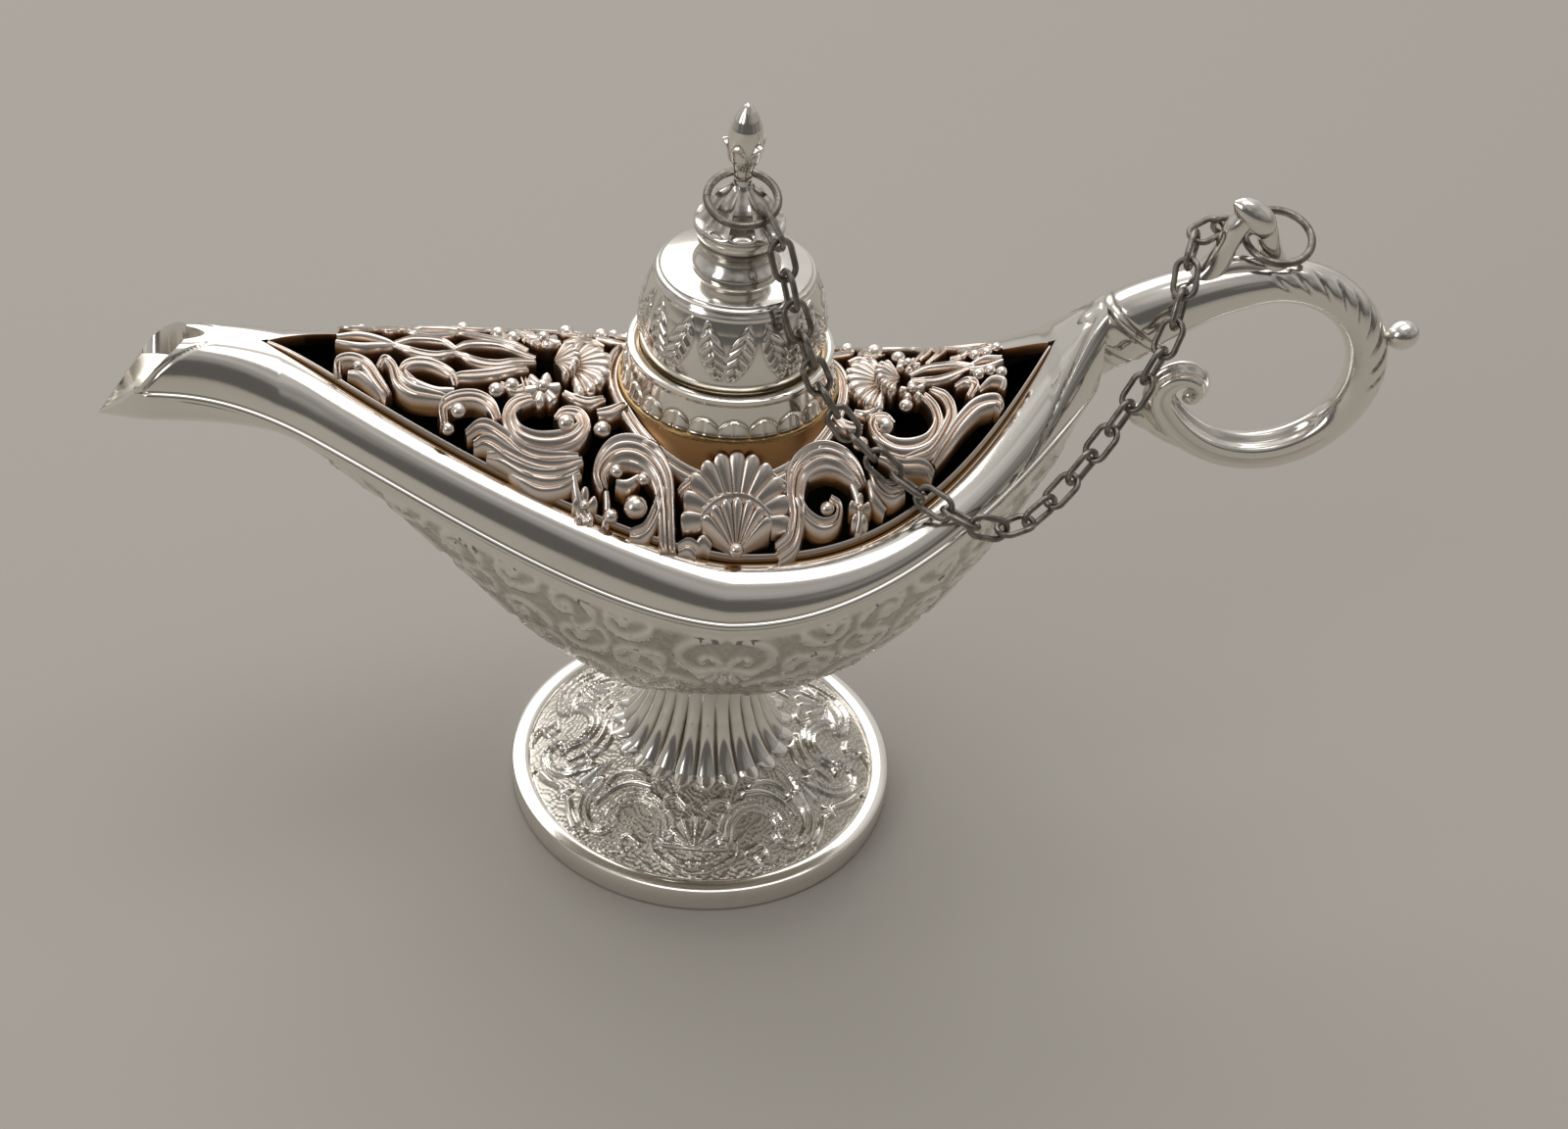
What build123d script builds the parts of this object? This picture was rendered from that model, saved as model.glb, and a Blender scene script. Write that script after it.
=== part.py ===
from build123d import *
import os

# Genie oil lamp: a footed bowl with a beak spout, a polished rim band round a pierced cover, a bell lid
# with a finial, and a scroll handle. A chain runs from a ring on the finial to a ring in the handle's lug.
# Millimetres, Z up. The origin is the centre of the foot's underside and the handle points along +X.

# Foot
FOOT_RADIUS = 22.5
FOOT_EDGE_HEIGHT = 3.2
FOOT_RIM_WIDTH = 1.8
FOOT_RIM_STEP = 0.5
FOOT_WALL = 1.8
FOOT_HEIGHT = 21.0
FOOT_TOP_RADIUS = 6.3
FLUTE_SPREAD = 9.0
FLUTE_BASE_Z = 8.0
FLUTE_COUNT = 22
FLUTE_GROOVE_RADIUS = 0.55
WAIST_RADIUS = 5.6
WAIST_Z = 18.0
FLUTE_SAG = 0.28
EDGE_ROUND = 0.4

# Screw that holds the foot to the bowl
SCREW_RADIUS = 1.5
SCREW_HEAD_RADIUS = 2.7
SCREW_HEAD_HEIGHT = 1.8
SCREW_SLOT_WIDTH = 0.8
SCREW_SLOT_DEPTH = 0.9
SCREW_GRIP = 5.0
SCREW_CLEARANCE = 0.1
STEM_WEB = 4.0
BOSS_RADIUS = 4.0
BOSS_CROWN = 1.5

# Body: lower casting (bowl) and upper casting (rim frame), which meet along the seam
BOWL_HALF_WIDTH = 22.0
BOWL_DEPTH = 22.1
BODY_WALL = 1.5
SEAM_GAP = 0.05
BAND_WIDTH = 4.5
BAND_HEIGHT = 4.5
SPOUT_TIP_X = -66.2
BEAK_X = -60.0
SPOUT_ROOT_X = -50.0
SPOUT_HALF_WIDTH = 4.2
SPOUT_SEAM_RISE = 14.9
SPOUT_KEEL_RISE = 31.3
SPOUT_THROAT_X = -48.3
KEEL_FLAT_X = -7.5
MOUTH_TOP_X = -57.5
ROOF_FLAT = 1.2
TAIL_X = 39.0
TAIL_REACH = 42.5
TAIL_SEAM_RISE = 18.4
TAIL_KEEL_RISE = 38.0
TAIL_TOP_SLOPE = 1.1
TAIL_WALL = 3.5
BEAK_WALL = 0.6
BEAK_TAPER = 0.86
MIN_HOLLOW = 0.35

# Exponents that bend the body's lines towards its ends
TAIL_PLAN_BEND = 2.1
SPOUT_PLAN_BEND = 1.4
TAIL_SEAM_BEND = 1.95
TAIL_KEEL_BEND = 2.35
TAIL_RIM_BEND = 2.75
SPOUT_RIM_BEND = 1.3
TAIL_OPENING_BEND = 2.45
SPOUT_OPENING_BEND = 1.55

# Share of the spout's length over which its lines come to rest
SPOUT_SOFTNESS = 0.15

# Opening in the rim frame, pointed at both ends
OPENING_SPOUT_X = -48.8
OPENING_TAIL_X = 34.4
OPENING_SPOUT_RISE = 15.3
OPENING_TAIL_RISE = 17.0

# Pierced cover
COVER_GAP = 0.05
COVER_RISE = 0.58
COVER_THICKNESS = 1.6
COVER_RAIL = 1.1
COVER_TRIM = 0.3
NECK_RING_WIDTH = 1.5
SCROLL_WIDTH = 1.7
LEAF_WIDTH = 1.3
PETAL_RADIUS = 1.1
SHELL_LOBE_RADIUS = 1.5
SMALLEST_GAP = 6.0
# Half width of the opening that the plan below is drawn for
PLAN_HALF_WIDTH = 17.5
# Scrolls in plan on the near side: start, heading, and bends as radius and sweep
SCROLLS = [
    ((-6.3, -16.6), 88.0, [(25.0, 12.0), (4.2, 125.0), (2.4, 110.0), (1.5, 120.0)]),
    ((-6.5, -12.7), 265.0, [(2.2, -150.0)]),
    ((-15.0, -6.8), 262.0, [(4.0, -80.0), (14.0, -45.0)]),
    ((-19.1, -9.4), 180.0, [(3.6, -160.0)]),
    ((-24.3, -8.0), 95.0, [(2.3, 200.0)]),
    ((7.0, -16.4), 92.0, [(25.0, -12.0), (4.0, -125.0), (2.3, -110.0), (1.4, -120.0)]),
    ((15.2, -6.6), 278.0, [(3.6, 80.0), (12.0, 40.0)]),
]
# Leaves as straight ribs, from stem to tip
LEAVES = [
    ((-29.0, -5.2), (-38.5, -1.4)),
    ((-28.5, -1.5), (-38.5, -0.9)),
    ((-8.5, 0.0), (-29.0, 0.0)),
    ((8.5, 0.0), (19.0, 0.0)),
    ((18.0, -1.0), (28.5, -2.4)),
    ((18.0, -1.0), (22.2, -6.2)),
    ((18.0, -1.0), (24.8, -9.2)),
]
# Small balls between the scrolls: centre and radius
BEADS = [
    ((-12.3, -11.6), 1.2),
    ((-9.6, -13.2), 1.1),
    ((-13.6, -7.8), 1.2),
    ((-17.6, -8.0), 1.2),
    ((-27.6, -7.8), 1.1),
]
# Palmettes on the ridge: centre, reach and direction
PALMETTES = [(-15.5, 2.6, 180.0), (16.6, 2.2, 0.0)]
SHELL_BASE = (0.8, -17.2)
SHELL_LOBES = [
    (-4.9, -15.6), (-4.4, -12.9), (-2.4, -10.4), (0.3, -9.3), (3.3, -9.8), (5.0, -11.3), (5.9, -13.5),
]

# Collar that the lid stands in
COLLAR_NECK_RADIUS = 9.3
COLLAR_FLARE_RADIUS = 11.8
COLLAR_MOUTH_RADIUS = 10.8
COLLAR_LIP = 0.8
COLLAR_LIFT = 0.676
COLLAR_HEIGHT = 5.1
COLLAR_EDGE = 0.6
COLLAR_SEAT_DEPTH = 1.0
COLLAR_BORE_RADIUS = 8.3
COLLAR_SKIRT = 5.0
COLLAR_FIT = 0.05

# Lid
LID_EDGE_RADIUS = 9.5
LID_BULGE_RADIUS = 9.75
LID_BULGE_HEIGHT = 3.8
LID_SHOULDER_RADIUS = 8.4
LID_DISC_RADIUS = 7.8
LID_DISC_THICKNESS = 0.5
LID_HEIGHT = 10.4
LID_WALL = 1.2
LID_SEAT_GAP = 0.05
PLUG_DEPTH = 3.8
PLUG_CLEARANCE = 0.2

# Finial, screwed through the lid
FINIAL_BASE_RADIUS = 4.6
FINIAL_WAIST_RADIUS = 3.6
FINIAL_BULB_RADIUS = 4.7
FINIAL_BASE_HEIGHT = 1.2
FINIAL_WAIST_HEIGHT = 2.4
FINIAL_BULB_HEIGHT = 5.4
FINIAL_SHOULDER_RADIUS = 4.2
FINIAL_SHOULDER_HEIGHT = 6.3
FINIAL_NECK_RADIUS = 0.9
FINIAL_NECK_HEIGHT = 10.3
FINIAL_BUD_RADIUS = 1.85
FINIAL_BUD_HEIGHT = 15.5
FINIAL_HEIGHT = 18.9
STUD_RADIUS = 1.5
STUD_CLEARANCE = 0.1
STUD_TAIL = 0.6
NUT_ACROSS_FLATS = 5.5
NUT_HEIGHT = 2.0

# Handle: a tube that leaves the tail, turns through a loop and ends in a curl
HANDLE_ROOT_ANGLE = 45.0
# Bends as radius and sweep, each with the tube's radius at even steps along it
HANDLE_BENDS = [
    (30.0, -36.0, [3.3, 2.4]),
    (11.2, -225.0, [2.3, 2.25, 2.2, 2.1, 1.9]),
    (14.0, -22.0, [1.7]),
    (2.6, -110.0, [1.5, 1.35, 1.2]),
    (1.6, -150.0, [1.1, 1.0, 0.9, 0.8]),
]
CURL_END_RADIUS = 1.05
HANDLE_ROOT_HALF_WIDTH = 3.6
HANDLE_ROOT_HALF_HEIGHT = 5.1
HANDLE_SEAT_GAP = 0.05
TENON_RADIUS = 1.6
TENON_LENGTH = 4.0
TENON_CLEARANCE = 0.05
# Outline of the lug, and the places of its hole, the knob and the bud, from the handle's root
LUG_OUTLINE = [
    (10.6, 9.27), (11.9, 13.67), (11.1, 17.57), (12.4, 18.37), (14.6, 16.97), (15.9, 13.27), (17.4, 9.87),
]
LUG_THICKNESS = 2.0
LUG_CORNER = 0.7
LUG_HOLE_RADIUS = 1.3
LUG_HOLE = (13.9, 12.77)
KNOB_RADIUS = 1.75
KNOB_NECK_RADIUS = 1.1
KNOB_PLACE = (32.7, 2.07)
BUD_RADIUS = 1.15
BUD_STEM_RADIUS = 0.8
BUD_ROOT = (11.4, -12.73)
BUD_TIP = (4.9, -8.33)

# Rings and chain
RING_RADIUS = 3.575
RING_WIRE = 0.85
RING_TILT = 17.5
# Centres of the rings, from the lid's top and from the handle's root
FINIAL_RING_CENTRE = (0.0, -1.5, 8.85)
HANDLE_RING_CENTRE = (17.2, 1.2, 13.17)
CHAIN_WIRE = 0.65
LINK_COUNT = 28
LINK_WIDTH = 3.0
LINK_PLAY = 0.25
FIRST_LINK_FACING = (0.77, 0.61, 0.19)
LINK_TWIST = 2.5
# Heights here are from a straight line between the lid's top and the handle's root
CHAIN_ROUTE = [
    (2.1, -3.95, 8.35), (3.95, -6.4, 5.97), (4.9, -7.6, 2.59), (6.1, -9.0, -0.39),
    (7.6, -9.8, -3.97), (9.6, -10.1, -7.75), (12.2, -10.6, -11.03), (15.6, -11.9, -13.61),
    (19.2, -13.6, -15.19), (22.6, -15.8, -15.77), (26.2, -17.0, -16.45), (29.8, -15.9, -16.63),
    (33.6, -13.6, -14.51), (37.0, -11.4, -10.69), (40.2, -9.4, -6.07), (43.0, -7.4, -1.25),
    (45.0, -5.9, 3.77), (46.0, -3.7, 7.99), (46.7, -0.7, 11.11), (48.5, 1.9, 12.73),
    (51.0, 2.6, 13.15), (53.15, 2.15, 13.37),
]

# Heights and places that follow from the sizes above
seam_low_z = FOOT_HEIGHT + BOWL_DEPTH
rim_low_z = seam_low_z + BAND_HEIGHT
opening_half = BOWL_HALF_WIDTH - BAND_WIDTH
crown_z = rim_low_z + COVER_RISE * (opening_half + COVER_TRIM)
collar_base_z = crown_z + COLLAR_LIFT
collar_top_z = collar_base_z + COLLAR_HEIGHT
lid_base_z = collar_top_z - COLLAR_SEAT_DEPTH + LID_SEAT_GAP
lid_top_z = lid_base_z + LID_HEIGHT

os.makedirs("parts", exist_ok=True)


def ease(share):
    """A smooth step from 0 to 1."""
    share = min(max(share, 0.0), 1.0)
    return share * share * (3 - 2 * share)


def soften(share):
    """A share that comes to rest at 1 without a corner."""
    over = min(max(share - 1 + SPOUT_SOFTNESS, 0.0), 2 * SPOUT_SOFTNESS)
    return min(share, 1 + SPOUT_SOFTNESS) - over**2 / (4 * SPOUT_SOFTNESS)


def half_width(x):
    """Half the body's width at the seam."""
    if x >= 0:
        return BOWL_HALF_WIDTH * (1 - (x / TAIL_REACH) ** TAIL_PLAN_BEND)
    narrowing = soften(x / SPOUT_ROOT_X) ** SPOUT_PLAN_BEND
    width = SPOUT_HALF_WIDTH + (BOWL_HALF_WIDTH - SPOUT_HALF_WIDTH) * (1 - narrowing)
    beak = max(0, (x - BEAK_X) / (SPOUT_TIP_X - BEAK_X))
    return width * (1 - BEAK_TAPER * beak**2)


def seam_z(x):
    """Height of the seam between the two castings."""
    if x >= 0:
        return seam_low_z + TAIL_SEAM_RISE * (x / TAIL_X) ** TAIL_SEAM_BEND
    return seam_low_z + SPOUT_SEAM_RISE * ease(x / BEAK_X)


def keel_z(x):
    """Height of the body's underside along its middle."""
    if x >= 0:
        return FOOT_HEIGHT + TAIL_KEEL_RISE * (x / TAIL_X) ** TAIL_KEEL_BEND
    return FOOT_HEIGHT + SPOUT_KEEL_RISE * ease((x - KEEL_FLAT_X) / (SPOUT_THROAT_X - KEEL_FLAT_X))


def rim_z(x):
    """Height of the band's upper edge, and of the roof beyond the opening's ends."""
    if x < 0:
        return rim_low_z + OPENING_SPOUT_RISE * soften(x / OPENING_SPOUT_X) ** SPOUT_RIM_BEND
    rise = OPENING_TAIL_RISE * min(1, x / OPENING_TAIL_X) ** TAIL_RIM_BEND
    return rim_low_z + rise + TAIL_TOP_SLOPE * max(0, x - OPENING_TAIL_X)


def opening_width(x):
    """Half the opening's width."""
    if x < 0:
        return opening_half * (1 - min(1, x / OPENING_SPOUT_X) ** SPOUT_OPENING_BEND)
    return opening_half * (1 - min(1, x / OPENING_TAIL_X) ** TAIL_OPENING_BEND)


def spread(spout_end, tail_end, spout_shares, tail_shares):
    """Stations from the spout's end to the tail's end, through the middle of the bowl."""
    return [spout_end * s for s in spout_shares] + [0.0] + [tail_end * s for s in tail_shares]


spout_shares = [1.0, 0.96, 0.91, 0.83, 0.74, 0.65, 0.55, 0.45, 0.35, 0.25, 0.13]
tail_shares = [0.2, 0.42, 0.6, 0.75, 0.88, 1.0]
bowl_stations = spread(SPOUT_TIP_X, TAIL_X, spout_shares, tail_shares)
frame_stations = spread((BEAK_X + SPOUT_TIP_X) / 2, TAIL_X, spout_shares, tail_shares)
cavity_stations = spread(SPOUT_TIP_X + BEAK_WALL, TAIL_X - TAIL_WALL, spout_shares, tail_shares)
mouth_rise = rim_z(MOUTH_TOP_X) - keel_z(SPOUT_TIP_X)
mouth_plane = Plane(
    origin=(SPOUT_TIP_X, 0, keel_z(SPOUT_TIP_X)),
    x_dir=(0, 1, 0),
    z_dir=(-mouth_rise, 0, MOUTH_TOP_X - SPOUT_TIP_X),
)

# Foot: a hollow disc that rises to a fluted trumpet stem, with a web for the screw under its top
rim_inner = FOOT_RADIUS - FOOT_RIM_WIDTH
ground_z = FOOT_EDGE_HEIGHT - FOOT_RIM_STEP
screw_hole_radius = SCREW_RADIUS + SCREW_CLEARANCE
stem_bore = SCREW_HEAD_RADIUS + 4 * SCREW_CLEARANCE
web_z = FOOT_HEIGHT - STEM_WEB

with BuildLine(Plane.XZ) as stem_line:
    ThreePointArc(
        (FLUTE_SPREAD, FLUTE_BASE_Z),
        (WAIST_RADIUS + FLUTE_SAG * (FLUTE_SPREAD - WAIST_RADIUS), (FLUTE_BASE_Z + WAIST_Z) / 2),
        (WAIST_RADIUS, WAIST_Z),
    )

with BuildPart() as flute_groove:
    with BuildSketch(Plane(stem_line.line @ 0, z_dir=stem_line.line % 0)):
        Circle(FLUTE_GROOVE_RADIUS)
    sweep(path=stem_line.line)

with BuildPart() as foot:
    with BuildSketch(Plane.XZ):
        with BuildLine():
            Polyline(
                (WAIST_RADIUS, WAIST_Z),
                (FOOT_TOP_RADIUS, FOOT_HEIGHT),
                (screw_hole_radius, FOOT_HEIGHT),
                (screw_hole_radius, web_z),
                (stem_bore, web_z),
                (stem_bore, FLUTE_BASE_Z + FOOT_WALL),
                (FLUTE_SPREAD - FOOT_WALL, FLUTE_BASE_Z - FOOT_WALL),
                (rim_inner - FOOT_WALL, ground_z - FOOT_WALL),
                (FOOT_RADIUS - FOOT_WALL, 0),
                (FOOT_RADIUS, 0),
                (FOOT_RADIUS, FOOT_EDGE_HEIGHT),
                (rim_inner, FOOT_EDGE_HEIGHT),
                (rim_inner - FOOT_RIM_STEP, ground_z),
                (FLUTE_SPREAD, FLUTE_BASE_Z),
            )
            ThreePointArc(
                (FLUTE_SPREAD, FLUTE_BASE_Z),
                (WAIST_RADIUS + FLUTE_SAG * (FLUTE_SPREAD - WAIST_RADIUS), (FLUTE_BASE_Z + WAIST_Z) / 2),
                (WAIST_RADIUS, WAIST_Z),
            )
        make_face()
    revolve(axis=Axis.Z)
    fillet(foot.edges().filter_by(GeomType.CIRCLE).group_by(SortBy.RADIUS)[-1], EDGE_ROUND)
    with PolarLocations(0, FLUTE_COUNT):
        add(flute_groove.part, mode=Mode.SUBTRACT)
foot.part.label = "foot"
export_step(foot.part, "parts/foot.step")

# Screw from inside the stem into the bowl's boss, with a slotted pan head
boss_top_z = FOOT_HEIGHT + SCREW_GRIP + BOSS_CROWN
with BuildPart() as foot_screw:
    with BuildSketch(Plane.XY.offset(web_z - SCREW_HEAD_HEIGHT)):
        Circle(SCREW_HEAD_RADIUS)
    extrude(amount=SCREW_HEAD_HEIGHT)
    with BuildSketch(Plane.XY.offset(web_z)):
        Circle(SCREW_RADIUS)
    extrude(amount=STEM_WEB + SCREW_GRIP)
    with BuildSketch(Plane.XY.offset(web_z - SCREW_HEAD_HEIGHT)):
        Rectangle(3 * SCREW_HEAD_RADIUS, SCREW_SLOT_WIDTH)
    extrude(amount=SCREW_SLOT_DEPTH, mode=Mode.SUBTRACT)
foot_screw.part.label = "foot_screw"
export_step(foot_screw.part, "parts/foot_screw.step")

# Space inside the body, shared by both castings
with BuildPart() as cavity:
    for x in cavity_stations:
        width = half_width(x)
        half = max(width - BODY_WALL, MIN_HOLLOW * width)
        with BuildSketch(Plane.YZ.offset(x)):
            with BuildLine():
                low = seam_z(x) - keel_z(x) - BODY_WALL
                high = rim_z(x) - seam_z(x) - BODY_WALL
                EllipticalCenterArc((0, seam_z(x)), half, low, 180, arc_size=180)
                EllipticalCenterArc((0, seam_z(x)), half, high, 0, arc_size=180)
            make_face()
    loft()

# Bowl: half-elliptic sections from the beak to the tail, with a boss for the screw and a seat for the foot
with BuildPart() as bowl:
    for x in bowl_stations:
        width = half_width(x)
        with BuildSketch(Plane.YZ.offset(x)):
            with BuildLine():
                Line((-width, seam_z(x)), (width, seam_z(x)))
                EllipticalCenterArc((0, seam_z(x)), width, seam_z(x) - keel_z(x), 180, arc_size=180)
            make_face()
    loft()
    add(cavity.part, mode=Mode.SUBTRACT)
    with BuildSketch(Plane.XY.offset(FOOT_HEIGHT)):
        Circle(FOOT_TOP_RADIUS + BODY_WALL)
    extrude(amount=-BODY_WALL, mode=Mode.SUBTRACT)
    with BuildSketch(Plane.XY.offset(FOOT_HEIGHT)):
        Circle(FOOT_TOP_RADIUS)
    extrude(amount=BODY_WALL)
    with BuildSketch(Plane.XY.offset(FOOT_HEIGHT)):
        Circle(BOSS_RADIUS)
    extrude(amount=boss_top_z - FOOT_HEIGHT)
    with BuildSketch(Plane.XY.offset(FOOT_HEIGHT)):
        Circle(SCREW_RADIUS + SCREW_CLEARANCE / 2)
    extrude(amount=SCREW_GRIP + SCREW_CLEARANCE, mode=Mode.SUBTRACT)
    split(bisect_by=mouth_plane, keep=Keep.BOTTOM)
bowl.part.label = "bowl"
export_step(bowl.part, "parts/bowl.step")


lens_shares = [1.0, 0.9, 0.78, 0.64, 0.5, 0.34, 0.17]


def lens_side(inset):
    """Points along one side of the opening's outline, drawn in by an inset."""
    share = 1 - inset / opening_half
    spout_end = OPENING_SPOUT_X * share ** (1 / SPOUT_OPENING_BEND)
    tail_end = OPENING_TAIL_X * share ** (1 / TAIL_OPENING_BEND)
    stations = spread(spout_end, tail_end, lens_shares, lens_shares[::-1])
    side = [(x, opening_width(x) - inset) for x in stations]
    side[0] = (spout_end, 0.0)
    side[-1] = (tail_end, 0.0)
    return side


# Rim frame: quarter-round band on the seam, roof of the spout and shoulder of the tail
tenon_z = (seam_z(TAIL_X) + rim_z(TAIL_X)) / 2
with BuildPart() as rim_frame:
    for x in frame_stations:
        width = half_width(x)
        flat = max(opening_width(x), ROOF_FLAT)
        low = seam_z(x) + SEAM_GAP
        with BuildSketch(Plane.YZ.offset(x)):
            with BuildLine():
                Line((-width, low), (width, low))
                EllipticalCenterArc((flat, low), width - flat, rim_z(x) - low, 0, arc_size=90)
                Line((flat, rim_z(x)), (-flat, rim_z(x)))
                EllipticalCenterArc((-flat, low), width - flat, rim_z(x) - low, 90, arc_size=90)
            make_face()
    loft()
    add(cavity.part, mode=Mode.SUBTRACT)
    with BuildSketch(Plane.XY.offset(seam_low_z)):
        with BuildLine():
            side = Spline(*lens_side(0))
            mirror(side, about=Plane.XZ)
        make_face()
    extrude(amount=rim_z(TAIL_X) - seam_low_z, mode=Mode.SUBTRACT)
    with BuildSketch(Plane.YZ.offset(TAIL_X)):
        with Locations((0, tenon_z)):
            Circle(TENON_RADIUS + TENON_CLEARANCE)
    extrude(amount=-TENON_LENGTH, mode=Mode.SUBTRACT)
    split(bisect_by=mouth_plane, keep=Keep.BOTTOM)
rim_frame.part.label = "rim_frame"
export_step(rim_frame.part, "parts/rim_frame.step")

# Pierced cover: an arched skin cut through so that the rail, scrolls, leaves and shells stay
with BuildPart() as arch:
    for x in spread(OPENING_SPOUT_X, OPENING_TAIL_X, lens_shares, lens_shares[::-1]):
        half = opening_width(x) + COVER_TRIM
        top = rim_z(x) + COVER_RISE * half
        with BuildSketch(Plane.YZ.offset(x)):
            with BuildLine():
                ThreePointArc((-half, rim_z(x)), (0, top), (half, rim_z(x)))
                Line((half, rim_z(x)), (half, rim_z(x) - COVER_THICKNESS))
                ThreePointArc(
                    (half, rim_z(x) - COVER_THICKNESS),
                    (0, top - COVER_THICKNESS),
                    (-half, rim_z(x) - COVER_THICKNESS),
                )
                Line((-half, rim_z(x) - COVER_THICKNESS), (-half, rim_z(x)))
            make_face()
    loft()


plan_scale = opening_half / PLAN_HALF_WIDTH


def in_plan(point):
    """A place in the cover's plan, fitted to the opening."""
    return (point[0] * plan_scale, point[1] * plan_scale)


def scroll_line(start, heading, bends):
    """Tangent arcs that make one scroll."""
    place = in_plan(start)
    ahead = Vector(1, 0).rotate(Axis.Z, heading)
    with BuildLine() as scroll:
        for radius, sweep_angle in bends:
            arc = JernArc(place, ahead, radius * plan_scale, sweep_angle)
            place = arc @ 1
            ahead = arc % 1
    return scroll.line


scroll_lines = [scroll_line(*scroll) for scroll in SCROLLS]
shell_lobes = [in_plan(lobe) for lobe in SHELL_LOBES]
neck_hole_radius = COLLAR_NECK_RADIUS + COLLAR_FIT
with BuildSketch() as lace:
    for line in scroll_lines:
        trace(line, line_width=SCROLL_WIDTH)
        with Locations(line @ 1):
            Circle(SCROLL_WIDTH / 2)
    for stem, tip in LEAVES:
        with BuildLine() as leaf:
            Line(in_plan(stem), in_plan(tip))
        trace(leaf.line, line_width=LEAF_WIDTH)
    for centre, radius in BEADS:
        with Locations(in_plan(centre)):
            Circle(radius)
    with BuildLine():
        Polyline(in_plan(SHELL_BASE), *shell_lobes, in_plan(SHELL_BASE))
    make_face()
    with Locations(*shell_lobes):
        Circle(SHELL_LOBE_RADIUS)
    mirror(about=Plane.XZ)
    for centre, reach, direction in PALMETTES:
        with Locations(in_plan((centre, 0))):
            Circle(reach - PETAL_RADIUS / 2)
            with PolarLocations(reach, 5, direction - 120, 240):
                Circle(PETAL_RADIUS)
    Circle(neck_hole_radius + NECK_RING_WIDTH)
    with BuildLine():
        outer = Spline(*lens_side(COVER_GAP))
        mirror(outer, about=Plane.XZ)
    make_face(mode=Mode.INTERSECT)
with BuildSketch() as rail:
    with BuildLine():
        outer = Spline(*lens_side(COVER_GAP))
        mirror(outer, about=Plane.XZ)
    make_face()
    with BuildLine():
        inner = Spline(*lens_side(COVER_GAP + COVER_RAIL))
        mirror(inner, about=Plane.XZ)
    make_face(mode=Mode.SUBTRACT)
with BuildSketch() as lattice:
    add(lace.sketch)
    add(rail.sketch)
    for panel in lattice.faces():
        for gap in panel.inner_wires():
            if gap.length < SMALLEST_GAP:
                add(Face(gap))
    Circle(neck_hole_radius, mode=Mode.SUBTRACT)

with BuildPart() as cover:
    add(lattice.sketch)
    extrude(amount=lid_base_z + OPENING_TAIL_RISE)
    add(arch.part, mode=Mode.INTERSECT)
    with BuildSketch(Plane.XY.offset(collar_base_z - COVER_GAP)):
        Circle(COLLAR_FLARE_RADIUS + COVER_TRIM)
    extrude(amount=COLLAR_HEIGHT, mode=Mode.SUBTRACT)
cover.part.label = "cover"
export_step(cover.part, "parts/cover.step")

# Collar: a neck in the cover's ring, a flared band above it and a seat for the lid inside its lip
lip_radius = COLLAR_MOUTH_RADIUS - COLLAR_LIP
with BuildPart() as collar:
    with BuildSketch(Plane.XZ):
        with BuildLine():
            Polyline(
                (COLLAR_BORE_RADIUS, collar_base_z - COLLAR_SKIRT),
                (COLLAR_NECK_RADIUS, collar_base_z - COLLAR_SKIRT),
                (COLLAR_NECK_RADIUS, collar_base_z),
                (COLLAR_FLARE_RADIUS, collar_base_z),
                (COLLAR_FLARE_RADIUS, collar_base_z + COLLAR_EDGE),
                (COLLAR_MOUTH_RADIUS, collar_top_z),
                (lip_radius, collar_top_z),
                (lip_radius, collar_top_z - COLLAR_SEAT_DEPTH),
                (COLLAR_BORE_RADIUS, collar_top_z - COLLAR_SEAT_DEPTH),
                close=True,
            )
        make_face()
    revolve(axis=Axis.Z)
collar.part.label = "collar"
export_step(collar.part, "parts/collar.step")

# Lid: a hollow bell with a flat disc on top, a plug below and a hole for the finial's stud
plug_radius = COLLAR_BORE_RADIUS - PLUG_CLEARANCE
stud_hole_radius = STUD_RADIUS + STUD_CLEARANCE
disc_z = lid_top_z - LID_DISC_THICKNESS
with BuildPart() as lid:
    with BuildSketch(Plane.XZ):
        with BuildLine():
            bell = Spline(
                (LID_EDGE_RADIUS, lid_base_z),
                (LID_BULGE_RADIUS, lid_base_z + LID_BULGE_HEIGHT),
                (LID_SHOULDER_RADIUS, disc_z),
            )
            Polyline(
                bell @ 1,
                (LID_DISC_RADIUS, disc_z),
                (LID_DISC_RADIUS, lid_top_z),
                (stud_hole_radius, lid_top_z),
                (stud_hole_radius, lid_top_z - LID_WALL),
                (LID_SHOULDER_RADIUS - LID_WALL, lid_top_z - LID_WALL),
                (plug_radius - LID_WALL, lid_base_z + LID_BULGE_HEIGHT),
                (plug_radius - LID_WALL, lid_base_z - PLUG_DEPTH),
                (plug_radius, lid_base_z - PLUG_DEPTH),
                (plug_radius, lid_base_z),
                bell @ 0,
            )
        make_face()
    revolve(axis=Axis.Z)
lid.part.label = "lid"
export_step(lid.part, "parts/lid.step")

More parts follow.
